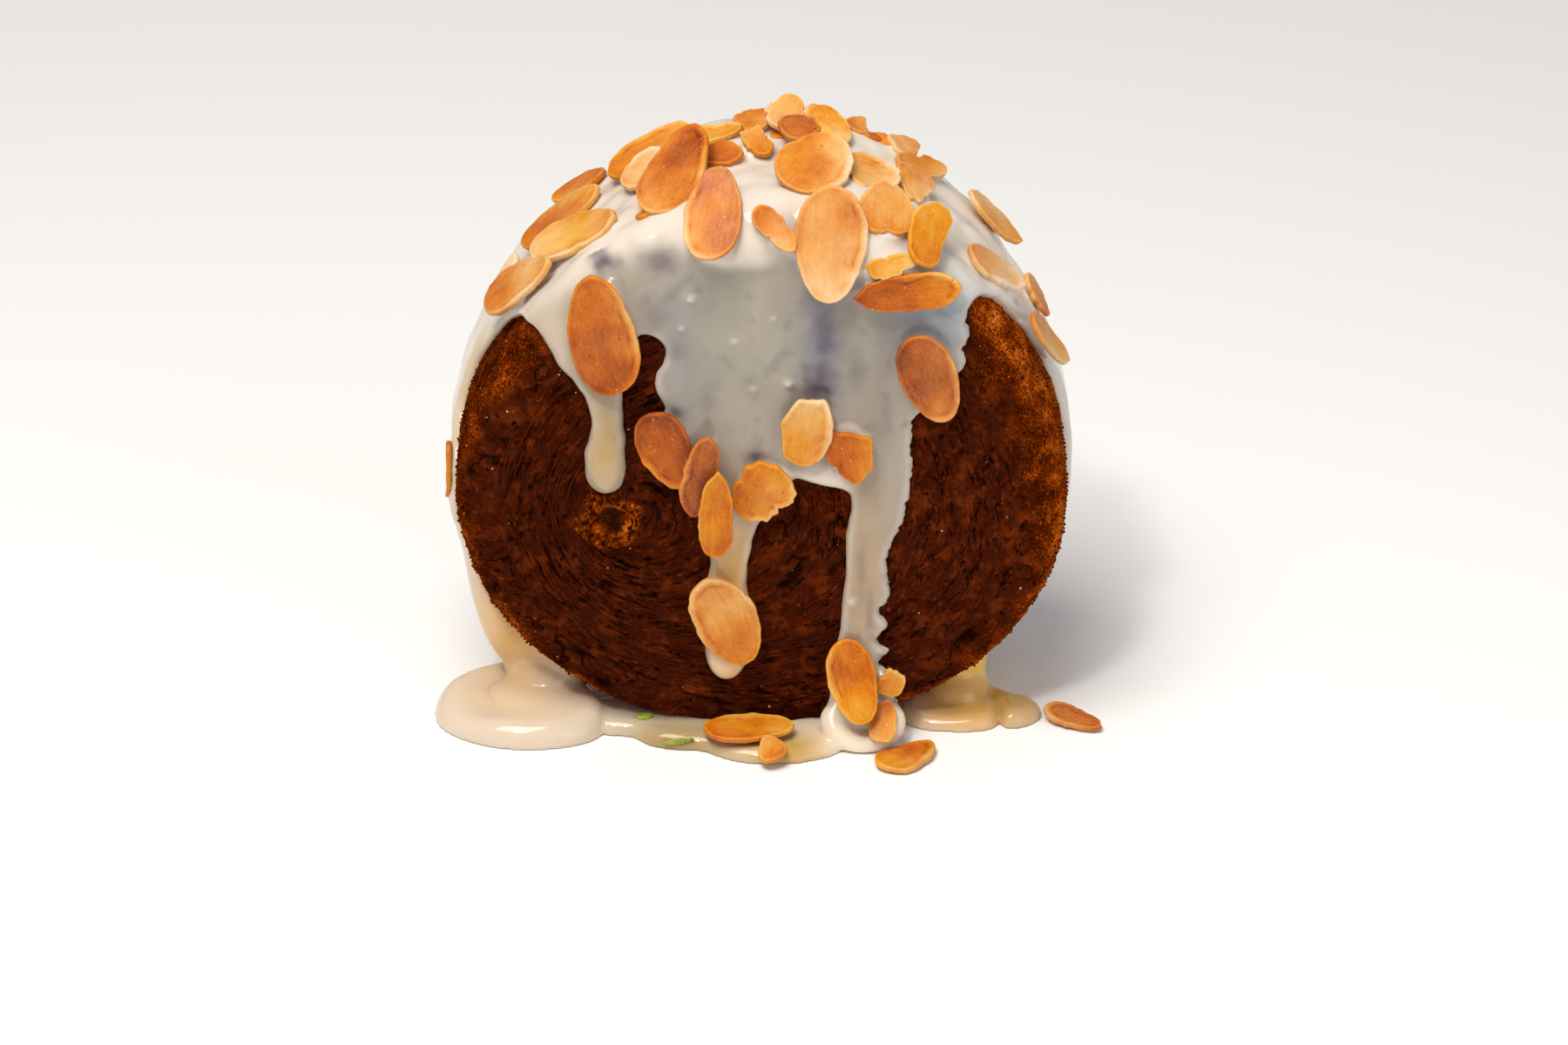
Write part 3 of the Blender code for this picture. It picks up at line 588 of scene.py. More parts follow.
# Colours of the icing.
CREAM = colour(224, 214, 203)
SHEET_GREY = colour(162, 153, 140)
HEM = colour(206, 199, 188)
SHOWS_THROUGH = colour(76, 64, 84)
TINTS = [  # place (across, front to back, up), reach the same way, colour, strength
    ((-13, -21, 27), (4, 4, 13), (146, 143, 146), 0.6),     # the sheet, from left to right
    ((-2, -21, 28), (6, 4, 15), (162, 157, 138), 0.6),
    ((9, -21, 26), (3.5, 4, 12), (126, 126, 140), 0.8),
    ((18, -21, 19), (3, 4, 12), (128, 122, 114), 0.4),
    ((28, -21, 32), (7, 5, 7), (136, 148, 160), 0.9),
    ((38, -19, 36), (9, 6, 7), (206, 212, 216), 0.7),
    ((-37, -20, 22), (9, 6, 13), (163, 141, 112), 0.8),     # the left lobe, darker: painted shade
    ((-48, -6, 14), (5, 16, 24), (204, 180, 140), 0.85),    # the coats down both sides
    ((48, -4, 16), (5, 16, 22), (206, 206, 200), 0.6),
    ((15.5, -21, -14), (5, 4, 20), (180, 151, 116), 0.85),  # the right drip
    ((-26, -22, 8), (6, 5, 12), (180, 150, 98), 0.95),      # the left and middle drips
    ((-5, -22, -20), (6, 6, 16), (228, 172, 80), 1.0),
    ((-40, -12, -44), (15, 15, 7), (220, 196, 164), 1.0),   # left puddle
    ((-41, -8, -27), (8, 8, 13), (228, 170, 56), 1.0),
    ((-15, -24, -45), (12, 8, 5), (168, 142, 82), 1.0),     # front puddle
    ((4, -27, -45), (9, 6, 5), (190, 152, 58), 1.0),
    ((16.5, -25, -42), (6, 6, 6), (252, 238, 214), 1.0),    # foot
    ((34, -14, -44), (11, 8, 4), (208, 160, 92), 1.0),      # right puddle
    ((42, -12, -43), (5, 6, 5), (168, 132, 72), 0.9),
    # the right stream: its own yellow, painted as bright as it goes: painted light where it lies in shade
    ((34, -7, -36), (10, 10, 9), (255, 206, 92), 1.0)]
SPOTS = [  # where the dough shows through the sheet: across, up, half sizes, strength
    (-25.5, 40, 2.6, 1.6, 0.95), (-16.5, 41.5, 3.6, 2.2, 0.5), (9, 20, 3.0, 4.6, 1.0),
    (10, 28, 2.6, 5.0, 0.75), (8, 35, 2.6, 3.5, 0.5), (-14, 14.5, 1.3, 1.3, 0.8),
    (-9, 16, 1.8, 4.0, 0.35), (-1.5, 7, 1.6, 1.3, 0.9), (-14, 26, 3, 4, 0.35),
    (15, 22, 1.6, 4, 0.4), (26, 36.5, 2.2, 0.9, 0.6), (24, 30, 4, 3, 0.3), (20, 14, 1.2, 5, 0.3),
    (-17, 32, 2.2, 3.2, 0.35), (-2, 20, 1.2, 1.6, 0.3), (16, -14, 0.8, 5, 0.4), (17.4, -22, 0.7, 4, 0.4)]


def build_icing():
    field, axes = icing_field()
    skin, faces = skin_of(field, axes)
    icing = piece_from("icing_coat", skin, faces)
    nothing_selected()
    icing.select_set(True)
    bpy.context.view_layer.objects.active = icing
    icing.modifiers.new("fewer", "DECIMATE").ratio = ICING_SHARE
    bpy.ops.object.modifier_apply(modifier="fewer")
    icing.data.shade_smooth()
    points = places_of(icing)
    x, y, z = points.T
    up = z - CENTRE_HEIGHT
    spot = columns(x, y, up)
    over = over_dough(x, y, up)
    sheet = (1 - rise_between(-20.5, -16, y)) * (1 - rise_between(1.1, 2.1, over))
    sheet = np.maximum(sheet, rise_between(18.5, 20.5, y) * (1 - rise_between(1.6, 2.6, over)))
    sheet = sheet * rise_between(0.2, 0.7, over) * rise_between(-44, -38, up)
    tint = np.tile(np.array(CREAM), (len(points), 1))
    tint += (sheet * 0.95)[:, None] * (np.array(SHEET_GREY) - tint)
    for place, reach, shade, strength in TINTS:
        near = strength * bump_at(np.linalg.norm((spot - place) / reach, axis=1), 1)
        tint += near[:, None] * (np.array(colour(*shade)) - tint)
    streaks = 0.05 * cloud(spot / (1.6, 9, 14), 1, 46) + 0.05 * cloud(spot / (4.0, 9, 7), 1, 43)
    tint[:, :3] *= (1 + sheet * streaks)[:, None]
    hem = inside_by(FRONT_OUTLINE, x, up)
    front = y < -15
    pale = 0.5 * bump_at(hem - 0.5, 0.6) * sheet * front
    for across, height, radius in BUBBLES:
        pale = np.maximum(pale, 0.8 * front * bump_at(np.hypot(x - across, up - height), radius))
    tint += pale[:, None] * (np.array(HEM) - tint)
    shows = 0.3 * sheet * rise_between(0.45, 1.1, cloud(spot / (1.7, 9, 2.2), 1, 45))
    for across, height, half_x, half_up, strength in SPOTS:
        near = np.hypot((x - across) / half_x, (up - height) / half_up)
        shows = np.maximum(shows, strength * bump_at(near + 0.35 * cloud(points, 1.4, 41), 0.9))
    shows = np.clip(shows, 0, 1) * np.maximum(front, sheet > 0.3) * (over < 2.2)
    paint(icing, tint=np.clip(tint, 0, 1), sheet=sheet, shows=shows)
    return icing, skin, faces


# ---- the almond slices ------------------------------------------------------------------------

SLICES = sorted(name for name in frame["nodes"] if name.startswith("almond_"))
SLICE_SEGMENTS, SLICE_RINGS = 84, 26
RING_PARTS = np.array([  # where a slice's rings are, from its middle to its edge
    0, 0.2, 0.38, 0.53, 0.65, 0.75, 0.83, 0.89, 0.93, 0.96, 0.98, 0.993, 1.0, 1.0])
SLICE_HALF = 0.48               # half the thickness of a slice
SLICE_EDGE = 0.26               # radius of a slice's edge
SLICE_GROWTH = 1.07             # the real slices touch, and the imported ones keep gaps
PICTURE_RIGHT = np.array([1.0, 0.0, 0.0])
PICTURE_UP = np.array([0.0, math.sin(math.radians(27)), math.cos(math.radians(27))])

# For each slice: toast (0 pale to 1 burnt), blush (0 golden to 1 pinkish), how much darker its heart
# is, how ragged its outline is, the side of its pale rim and the side where it is most toasted.
# Sides are degrees on the picture from the right, upwards.
LOOKS = {
    1: (0.50, 0.2, 0.1, 1, None, 60), 2: (0.46, 0.4, 0.15, 1, None, 225),
    3: (0.32, 0.6, 0.0, 1, -60, 20), 4: (0.40, 0.75, 0.1, 1.2, -50, 200),
    5: (0.12, 1.0, 0.1, 1, None, 225), 6: (0.46, 0.15, 0.15, 1, 120, 200),
    7: (0.24, 0.9, 0.1, 1.5, 100, 270), 8: (0.56, 0.25, 0.12, 1, 10, 60),
    9: (0.28, 0.2, 0.1, 1.3, 90, 0), 10: (0.66, 0.0, 0.1, 1.2, None, 200),
    11: (0.55, 0.8, 0.05, 1, 180, 60), 12: (0.60, 0.35, 0.05, 0.8, 0, 250),
    13: (0.51, 0.5, 0.1, 1.4, None, 120), 14: (0.48, 0.4, 0.1, 1.5, None, 180),
    15: (0.42, 0.5, 0.1, 1.8, None, 300), 16: (0.32, 0.6, 0.1, 1.6, None, 0),
    17: (0.30, 0.5, 0.1, 1.4, 200, 60), 18: (0.61, 0.7, 0.1, 1.8, None, 90),
    19: (0.53, 0.5, 0.0, 1.0, None, 220), 20: (0.28, 0.8, 0.05, 1.8, 60, 180),
    21: (0.40, 0.7, 0.4, 1.2, -10, 180), 22: (0.42, 0.9, 0.1, 1.8, None, 0),
    23: (0.40, 0.7, 0.1, 1.8, None, 180), 24: (0.34, 0.9, 0.1, 1.8, None, 160),
    25: (0.40, 0.5, 0.0, 1.6, None, 230), 26: (0.38, 1.0, 0.0, 0.9, 0, 100),
    27: (0.44, 0.05, 0.05, 1.2, None, 250), 28: (0.30, 0.0, 0.05, 1.5, None, 180),
    29: (0.62, 0.1, 0.05, 0.9, 60, 200), 30: (0.30, 0.7, 0.1, 1.4, None, 300),
    31: (0.32, 0.8, 0.1, 1.4, None, 300), 32: (0.28, 1.0, 0.1, 1.4, -60, 120),
    33: (0.44, 0.8, 0.1, 1.4, None, 300), 34: (0.38, 0.6, 0.1, 1.2, None, 120),
    35: (0.67, 0.9, -0.1, 0.7, -30, 150), 36: (0.56, 0.0, 0.1, 2.0, None, 200),
    37: (0.34, 0.5, -0.05, 1.0, 0, 250), 38: (0.51, 0.2, -0.05, 2.0, -60, 150),
    39: (0.73, 0.1, -0.05, 1.0, -90, 90), 40: (0.71, 0.6, 0.1, 1.2, 180, 250),
    41: (0.48, 0.0, 0.1, 1.2, None, 300), 42: (0.46, 0.45, -0.05, 1.2, 160, 250),
    43: (0.52, 0.0, 0.1, 0.9, 180, 90), 44: (0.36, 0.1, 0.0, 1.6, None, 200),
    45: (0.56, 0.4, 0.1, 1.0, None, 90), 52: (0.48, 0.0, 0.05, 1.0, 90, 180),
    53: (0.47, 0.6, 0.0, 1.1, None, 0), 54: (0.50, 0.4, 0.0, 1.4, None, 90),
    55: (0.48, 0.1, 0.05, 1.2, 40, 90), 56: (0.63, 0.9, 0.0, 1.3, 120, 0)}
PLAIN_LOOK = (0.42, 0.3, 0.12, 1.2, 40, 200)
BREAKS = {  # the broken sides of a slice: side, part of the reach that is left
    15: ((40, 0.6), (200, 0.7)), 19: ((0, 0.7), (130, 0.7)), 24: ((-45, 0.7),), 25: ((-90, 0.8),),
    27: ((-20, 0.75),), 36: ((80, 0.7),), 37: ((90, 0.85), (180, 0.85)), 38: ((-55, 0.8),),
    44: ((60, 0.7),)}


def hull_reach(local, angles):
    """How far the slice's outline is from its middle at each angle."""
    facing = np.arange(720) / 720 * math.tau
    facings = np.stack([np.cos(facing), np.sin(facing)])
    support = (local[:, :2] @ facings).max(0)
    cosine = columns(np.cos(angles), np.sin(angles)) @ facings
    return np.where(cosine > 0.02, support / np.maximum(cosine, 0.02), 1e9).min(1)


def side_on(axes, side):
    """The angle in a slice's own plane of a side given in degrees on the picture."""
    turn = math.radians(side)
    towards = math.cos(turn) * PICTURE_RIGHT + math.sin(turn) * PICTURE_UP
    return math.atan2(towards @ axes[:, 1], towards @ axes[:, 0])


def build_slice(name, number):
    middle, axes, local = slice_frame(name)
    toast, blush, heart, ragged, rim_side, hot_side = LOOKS.get(number, PLAIN_LOOK)
    made, ring, around = ball(name.replace("almond", "almond_slice"), SLICE_SEGMENTS, SLICE_RINGS)
    half = SLICE_RINGS // 2
    top = ring <= half
    part = RING_PARTS[np.where(top, ring, SLICE_RINGS - ring)]
    angles = np.arange(SLICE_SEGMENTS) / SLICE_SEGMENTS * math.tau
    reach = hull_reach(local, angles)
    reach = np.maximum(smoothed_round(reach, 9, 4.0), 0.90 * reach) * SLICE_GROWTH
    circle = columns(reach * np.cos(angles), reach * np.sin(angles), 0 * angles + 7 * number)
    notch = 0.28 * rise_between(0.35, 0.8, cloud(circle, 1.5, 50))
    edge = ragged * (0.14 * cloud(circle, 2.2, 51) + 0.11 * cloud(circle, 0.9, 52)
                     - (ragged > 1.3) * notch)
    for side, share in BREAKS.get(number, ()):
        turn = side_on(axes, side)
        line = share * (reach * np.cos(angles - turn)).max()
        steep = np.cos(angles - turn)
        reach = np.where(steep > 0.05, np.minimum(reach, line / np.maximum(steep, 0.05)), reach)
    reach = reach + edge
    column = np.rint((around % math.tau) / math.tau * SLICE_SEGMENTS).astype(int) % SLICE_SEGMENTS
    out = reach[column]
    u, v = part * out * np.cos(around), part * out * np.sin(around)
    long, wide = np.abs(u).max(), np.abs(v).max()
    bow = np.polyfit(local[:, 0], local[:, 2], 2)
    spot = columns(u, v, 0 * u + 20 * number)
    rim_gap = (1 - part) * out
    round_off = np.sqrt(1 - (1 - np.clip(rim_gap / SLICE_EDGE, 0, 1)) ** 2)
    height = SLICE_HALF * (0.25 + 0.75 * round_off) * (ring != half)
    rim = step = 0 * u
    if rim_side is not None:
        beside = np.cos(around - side_on(axes, rim_side))
        rim = bump_at(rim_gap - 0.55, 0.55) * rise_between(-0.1, 0.8, beside)
        step = rise_between(1.1, 1.5, rim_gap) * rise_between(-0.1, 0.7, beside)
    grain = cloud(columns(u / 3.0, v / 0.7, 0 * u + 9 * number), 1, 53)
    relief_up = 0.03 * grain + 0.08 * cloud(spot, 2.0, 54) + 0.12 * rim - 0.16 * step * (part > 0.2)
    w = np.where(top, 1, -1) * height + np.where(top, relief_up, 0) * round_off
    w = w + np.polyval(bow, u) + 0.25 * cloud(spot, 5.5, 55)
    move_to(made, middle + columns(u, v, w) @ axes.T)

    hot = side_on(axes, hot_side)
    lean = (u * math.cos(hot) / long + v * math.sin(hot) / wide)
    level = toast + 0.4 * heart * bump_at(np.hypot(u / (0.5 * long), v / (0.5 * wide)), 1)
    level = level + 0.09 * cloud(spot, 5.0, 56) + 0.05 * cloud(spot, 1.6, 57) + 0.11 * lean
    level = level - 0.10 * bump_at(rim_gap - 0.2, 0.25) + 0.04 * bump_at(rim_gap - 0.75, 0.3)
    level = level - 0.18 * rim + 0.015 * grain
    level = level + 0.16 * step * bump_at(rim_gap - 1.4, 0.25)
    pink = np.clip(blush + 0.35 * cloud(spot, 5, 58) - 0.15 * lean + 0.25 * rim, 0, 1)
    paint(made, toast=np.clip(level, 0, 1), blush=pink, along=columns(u / 4 + number, v / 0.7, w))
    return made


# ---- small bits -------------------------------------------------------------------------------

# Places on the line of sight: across and up where it crosses the plane of the front face. Then the
# length and width, the heading and lean in degrees, the toast and the blush.
ALMOND_BITS = [
    (2.7, 63.0, 3.4, 2.0, -30, 20, 0.45, 0.1), (5.2, 64.8, 3.0, 1.4, -35, 10, 0.50, 0.1),
    (18.6, 65.3, 4.8, 3.0, -25, 35, 0.52, 0.3), (17.2, 62.6, 3.4, 1.8, -10, 15, 0.54, 0.2),
    (35.6, 51.3, 4.0, 1.7, -50, 10, 0.66, 0.2), (47.2, 30.2, 1.7, 1.1, -60, 0, 0.45, 0.3),
    (-17.0, 50.2, 7.0, 2.6, 12, 10, 0.50, 0.0)]
GREEN_BITS = [
    (-19.7, -41.9, 3.0, 1.6, 25, 5), (-14.0, -46.3, 5.2, 1.0, 8, 5)]
BIT_THICKNESS = 0.8
GRAINS = 3200
GRAIN_SIZES = (0.10, 0.26)      # radius of a grain of crust


def shape_model(made, sizes, unevenness, number):
    """Stretches a primitive in edit mode and pushes its corners about."""
    bpy.ops.object.mode_set(mode="EDIT")
    bpy.ops.mesh.select_all(action="SELECT")
    bpy.ops.transform.resize(value=sizes)
    bpy.ops.transform.vertex_random(offset=unevenness * MM, seed=number)
    bpy.ops.object.mode_set(mode="OBJECT")
    return made


def grain_model(number):
    nothing_selected()
    bpy.ops.mesh.primitive_ico_sphere_add(subdivisions=1, radius=MM)
    return shape_model(bpy.context.object, (1.25, 1.0, 0.8), 0.35, number)


def chip_model(number):
    """A broken bit of a slice, 2 mm across before it is stretched to its own size."""
    nothing_selected()
    bpy.ops.mesh.primitive_cylinder_add(vertices=12, radius=MM, depth=BIT_THICKNESS * MM)
    made = shape_model(bpy.context.object, (1.0, 1.0, 1.0), 0.16, number)
    edge = made.modifiers.new("edge", "BEVEL")
    edge.width = 0.15 * MM
    edge.segments = 2
    edge.limit_method = "ANGLE"
    soft = made.modifiers.new("soft", "SUBSURF")
    soft.levels = soft.render_levels = 1
    for modifier in ("edge", "soft"):
        bpy.ops.object.modifier_apply(modifier=modifier)
    made.data.shade_smooth()
    return made


def copy_at(model, place):
    made = bpy.data.objects.new("bit", model.data.copy())
    bpy.context.scene.collection.objects.link(made)
    made.matrix_world = place
    return made


def joined(name, bits):
    """Makes one piece of many finished bits."""
    nothing_selected()
    piece = piece_from(name, np.zeros((0, 3)), [])
    for bit in bits:
        bit.select_set(True)
    piece.select_set(True)
    bpy.context.view_layer.objects.active = piece
    bpy.ops.object.join()
    return piece


def remove(models):
    for model in models:
        bpy.data.objects.remove(model)


def place_in_sight(skin, across, up, length, width, heading, lean):
    """Lays a bit on the icing that is seen at this place of the picture, or just below it."""
    camera = Vector(CAMERA_PLACE)
    spot = None
    while spot is None:
        through = Vector((across, -HALF_THICKNESS, up + CENTRE_HEIGHT))
        spot, normal = skin.ray_cast(camera, (through - camera).normalized())[:2]
        up -= 0.3
    turn = math.radians(heading)
    towards = Vector(PICTURE_RIGHT) * math.cos(turn) + Vector(PICTURE_UP) * math.sin(turn)
    across_it = normal.cross(towards).normalized()
    along = across_it.cross(normal).normalized()
    axes = Matrix((along, across_it, normal)).transposed().to_4x4()
    axes = axes @ Matrix.Rotation(math.radians(lean), 4, "X")
    sizes = Matrix.Diagonal((length / 2, width / 2, 1, 1))
    return Matrix.Translation((spot + normal * 0.25) * MM) @ axes @ sizes


def lay_chips(skin, places, first_model, model_count):
    """Bits laid on the icing, one at each place, made from a few models in turn."""
    models = [chip_model(first_model + number) for number in range(model_count)]
    bits = [copy_at(models[number % model_count], place_in_sight(skin, *place))
            for number, place in enumerate(places)]
    remove(models)
    return bits


def build_almond_bits(skin):
    bits = lay_chips(skin, [place for *place, _, _ in ALMOND_BITS], 0, 3)
    for number, (bit, (*_, toast, blush)) in enumerate(zip(bits, ALMOND_BITS)):
        local = places_of(bit)
        spot = local + 7 * number
        paint(bit, toast=toast + 0.12 * cloud(spot, 1.2, 61) + 0.05 * local[:, 0],
              blush=blush + 0.2 * cloud(spot, 1.6, 62), along=local / (1.5, 0.8, 1) + number)
    return joined("almond_bits", bits)


def build_grains(moved, normal, share, skin):
    """Loose grains of browned dough on the crust and around the eye, where no icing covers them."""
    rng = np.random.RandomState(71)
    models = [grain_model(number) for number in range(4)]
    chosen = rng.permutation(np.flatnonzero((share > 0.55) & (moved[:, 2] > 1)))[:3 * GRAINS]
    grains = []
    for index in chosen:
        out = Vector(normal[index])
        spot = Vector(moved[index])
        size = rng.uniform(*GRAIN_SIZES)
        turn = Euler(rng.uniform(0, math.tau, 3))
        if len(grains) == GRAINS or skin.ray_cast(spot - out * 2, out, 6)[0] is not None:
            continue
        spot = (spot + out * size * 0.3) * MM
        grains.append(copy_at(models[len(grains) % len(models)],
                              Matrix.LocRotScale(spot, turn, Vector((size, size, size)))))
    remove(models)
    piece = joined("crust_grains", grains)
    piece.data.shade_flat()
    return piece


# ---- finishes ---------------------------------------------------------------------------------


def new_finish(name):
    made = bpy.data.materials.new(name)
    made.use_nodes = True
    return made, made.node_tree, made.node_tree.nodes["Principled BSDF"]


def put(tree, socket, value):
    if isinstance(value, (int, float, tuple)):
        socket.default_value = value
    else:
        tree.links.new(value, socket)


def feed(tree, node, **values):
    """Sets or links the node's sockets by name, where an underscore stands for a space."""
    for name, value in values.items():
        put(tree, node.inputs[name.replace("_", " ")], value)


def attribute(tree, name, output="Fac"):
    node = tree.nodes.new("ShaderNodeAttribute")
    node.attribute_name = name
    return node.outputs[output]


def object_place(tree):
    return tree.nodes.new("ShaderNodeTexCoord").outputs["Object"]


def speckle(tree, where, scale, detail=4, rough=0.6):
    node = tree.nodes.new("ShaderNodeTexNoise")
    feed(tree, node, Vector=where, Scale=scale, Detail=detail, Roughness=rough)
    return node.outputs["Fac"]


def ramp(tree, value, stops):
    """Colours along a value: each stop is a position, then red, green and blue or a single grey."""
    node = tree.nodes.new("ShaderNodeValToRGB")
    feed(tree, node, Fac=value)
    scale = node.color_ramp.elements
    while len(scale) < len(stops):
        scale.new(0.5)
    for element, (position, *shade) in zip(scale, stops):
        element.position = position
        element.color = colour(*shade) if len(shade) == 3 else shade * 3 + [1.0]
    return node.outputs["Color"]


def mix(tree, share, one, two, kind="MIX"):
    node = tree.nodes.new("ShaderNodeMix")
    node.data_type = "RGBA"
    node.blend_type = kind
    for number, value in ((0, share), (6, one), (7, two)):
        put(tree, node.inputs[number], value)
    return node.outputs[2]


def sums(tree, operation, *values):
    node = tree.nodes.new("ShaderNodeMath")
    node.operation = operation
    for socket, value in zip(node.inputs, values):
        put(tree, socket, value)
    return node.outputs[0]


def times(tree, one, two):
    return sums(tree, "MULTIPLY", one, two)


def stained(tree, base, *stains):
    """The base under some colours, each with the place where it shows and its strength."""
    for place, strength, shade in stains:
        base = mix(tree, times(tree, place, strength), base, colour(*shade))
    return base


def relief(tree, shader, height, distance, strength):
    node = tree.nodes.new("ShaderNodeBump")
    feed(tree, node, Distance=distance * MM, Strength=strength, Height=height)
    feed(tree, shader, Normal=node.outputs["Normal"])


SPECK_SPACING = 0.55            # fineness of the cells that may hold a speck, against the grain's
SPECK_SHARE = 0.14              # how many of the cells hold one
SPECK_SIZE = 0.16               # its radius in a cell


def baked_grain():
    """The fine grain of baked dough and almonds, and a few specks on them, laid on as dark specks and as
    painted glints.
    """
    group = bpy.data.node_groups.new("baked_grain", "ShaderNodeTree")
    for label, way, kind in (("Place", "INPUT", "Vector"), ("Fineness", "INPUT", "Float"),
                             ("Grain", "OUTPUT", "Float"), ("Specks", "OUTPUT", "Float")):
        group.interface.new_socket(label, in_out=way, socket_type="NodeSocket" + kind)
    given, result = group.nodes.new("NodeGroupInput"), group.nodes.new("NodeGroupOutput")
    noise, cells = group.nodes.new("ShaderNodeTexNoise"), group.nodes.new("ShaderNodeTexVoronoi")
    where, fineness = given.outputs["Place"], given.outputs["Fineness"]
    feed(group, noise, Vector=where, Scale=fineness, Detail=4, Roughness=0.7)
    feed(group, cells, Vector=where, Scale=times(group, fineness, SPECK_SPACING))
    few = sums(group, "GREATER_THAN", cells.outputs["Color"], 1 - SPECK_SHARE)
    dot = sums(group, "LESS_THAN", cells.outputs["Distance"], SPECK_SIZE)
    feed(group, result, Grain=noise.outputs["Fac"], Specks=times(group, few, dot))
    return group


def grain_of(tree, where, fineness):
    node = tree.nodes.new("ShaderNodeGroup")
    node.node_tree = BAKED_GRAIN
    feed(tree, node, Place=where, Fineness=fineness)
    return node.outputs["Grain"], node.outputs["Specks"]


CRUST_SHADES = [
    (0.38, 28, 8, 1), (0.48, 70, 23, 2), (0.57, 122, 47, 5),
    (0.65, 190, 88, 14), (0.75, 228, 146, 56)]


def dough_finish():
    made, tree, shader = new_finish("dough_finish")
    where = object_place(tree)
    layers = attribute(tree, "layers", "Vector")
    crust, sunk, eye, lip, burnt, edge = (
        attribute(tree, name) for name in ("crust", "sunk", "eye", "lip", "burnt", "edge"))
    fibre = speckle(tree, layers, 4.2, 6, 0.72)
    pores = speckle(tree, layers, 7.5, 2, 0.5)
    broad = speckle(tree, where, 260, 3, 0.6)
    # The grain's specks become painted glints: tiny highlights laid into the colour, as the dough has no
    # gloss of its own.
    grain, painted_glints = grain_of(tree, where, 1500)
    fine, _ = grain_of(tree, where, 2600)
    strand = mix(tree, 0.3, fibre, grain)
    crumb = ramp(tree, strand, [
        (0.34, 32, 10, 4), (0.44, 58, 19, 6), (0.54, 71, 25, 9),
        (0.62, 102, 41, 15), (0.72, 196, 110, 50)])
    warm = ramp(tree, broad, [(0.52, 0.0), (0.68, 0.5)])
    pore = ramp(tree, pores, [(0.30, 1.0), (0.36, 0.0)])
    seam = sums(tree, "SUBTRACT", speckle(tree, layers, 1.25, 3, 0.55), 0.5)
    seam = ramp(tree, sums(tree, "ABSOLUTE", seam), [(0.004, 0.9), (0.022, 0.0)])
    open_here = ramp(tree, speckle(tree, layers, 0.9, 2, 0.5), [(0.48, 0.0), (0.56, 1.0)])
    cracks = times(tree, seam, open_here)
    flakes = times(tree, ramp(tree, fine, [(0.63, 0.0), (0.68, 0.75)]), warm)
    # Pores and cracks are laid on almost black: painted shade in the small holes and slits.
    crumb = stained(tree, crumb, (warm, 1, (126, 50, 13)), (pore, 1, (18, 5, 1)), (cracks, 0.9, (14, 4, 1)),
                    (flakes, 1, (190, 104, 42)), (painted_glints, 0.8, (222, 184, 160)))
    # Lighter crust over the rounded edge: partly its own browning, partly painted light.
    browned = sums(tree, "MULTIPLY_ADD", edge, 0.085, mix(tree, 0.62, broad, fine))
    browned = sums(tree, "MULTIPLY_ADD", eye, 0.09, browned)
    shell = stained(tree, ramp(tree, browned, CRUST_SHADES), (lip, 0.85, (214, 116, 34)))
    base = mix(tree, sums(tree, "MAXIMUM", crust, eye), crumb, shell)
    # Painted shade: darker in the slits, holes, grooves and crust pits, and in the eye's sunken middle.
    base = stained(tree, base, (sunk, 0.85, (20, 6, 3)), (burnt, 0.85, (48, 24, 7)))
    feed(tree, shader, Base_Color=base, Roughness=ramp(tree, fine, [(0.4, 0.7), (0.62, 0.42)]),
         Specular_IOR_Level=0.0)
    relief(tree, shader, sums(tree, "SUBTRACT", mix(tree, 0.5, strand, fine), cracks), 0.4, 1.0)
    return made


def grains_finish():
    made, tree, shader = new_finish("grains_finish")
    where = object_place(tree)
    tone, _ = grain_of(tree, where, 900)
    feed(tree, shader, Base_Color=ramp(tree, tone, CRUST_SHADES), Roughness=0.8, Specular_IOR_Level=0.0)
    return made


def green_finish():
    made, tree, shader = new_finish("green_finish")
    where = object_place(tree)
    tone, _ = grain_of(tree, where, 900)
    green = ramp(tree, tone, [(0.35, 104, 120, 22), (0.65, 176, 184, 74)])
    feed(tree, shader, Base_Color=green, Roughness=0.3)
    return made


def icing_finish():
    made, tree, shader = new_finish("icing_finish")
    where = object_place(tree)
    tint = attribute(tree, "tint", "Color")
    sheet, shows = attribute(tree, "sheet"), attribute(tree, "shows")
    clouds = speckle(tree, where, 200, 3, 0.55)
    broad = speckle(tree, where, 60, 3, 0.5)
    patch = ramp(tree, clouds, [(0.35, 0.93), (0.7, 1.0)])
    milky = mix(tree, sheet, tint, patch, "MULTIPLY")
    base = mix(tree, times(tree, shows, 0.9), milky, SHOWS_THROUGH)
    base = mix(tree, 0.12, base, ramp(tree, broad, [
        (0.35, 220, 210, 194), (0.65, 250, 246, 238)]), "MULTIPLY")
    feed(tree, shader, Base_Color=base, Roughness=0.08, Subsurface_Weight=0.25,
         Subsurface_Radius=(1.0, 0.8, 0.6), Subsurface_Scale=0.002)
    relief(tree, shader, clouds, 0.2, 0.2)
    return made


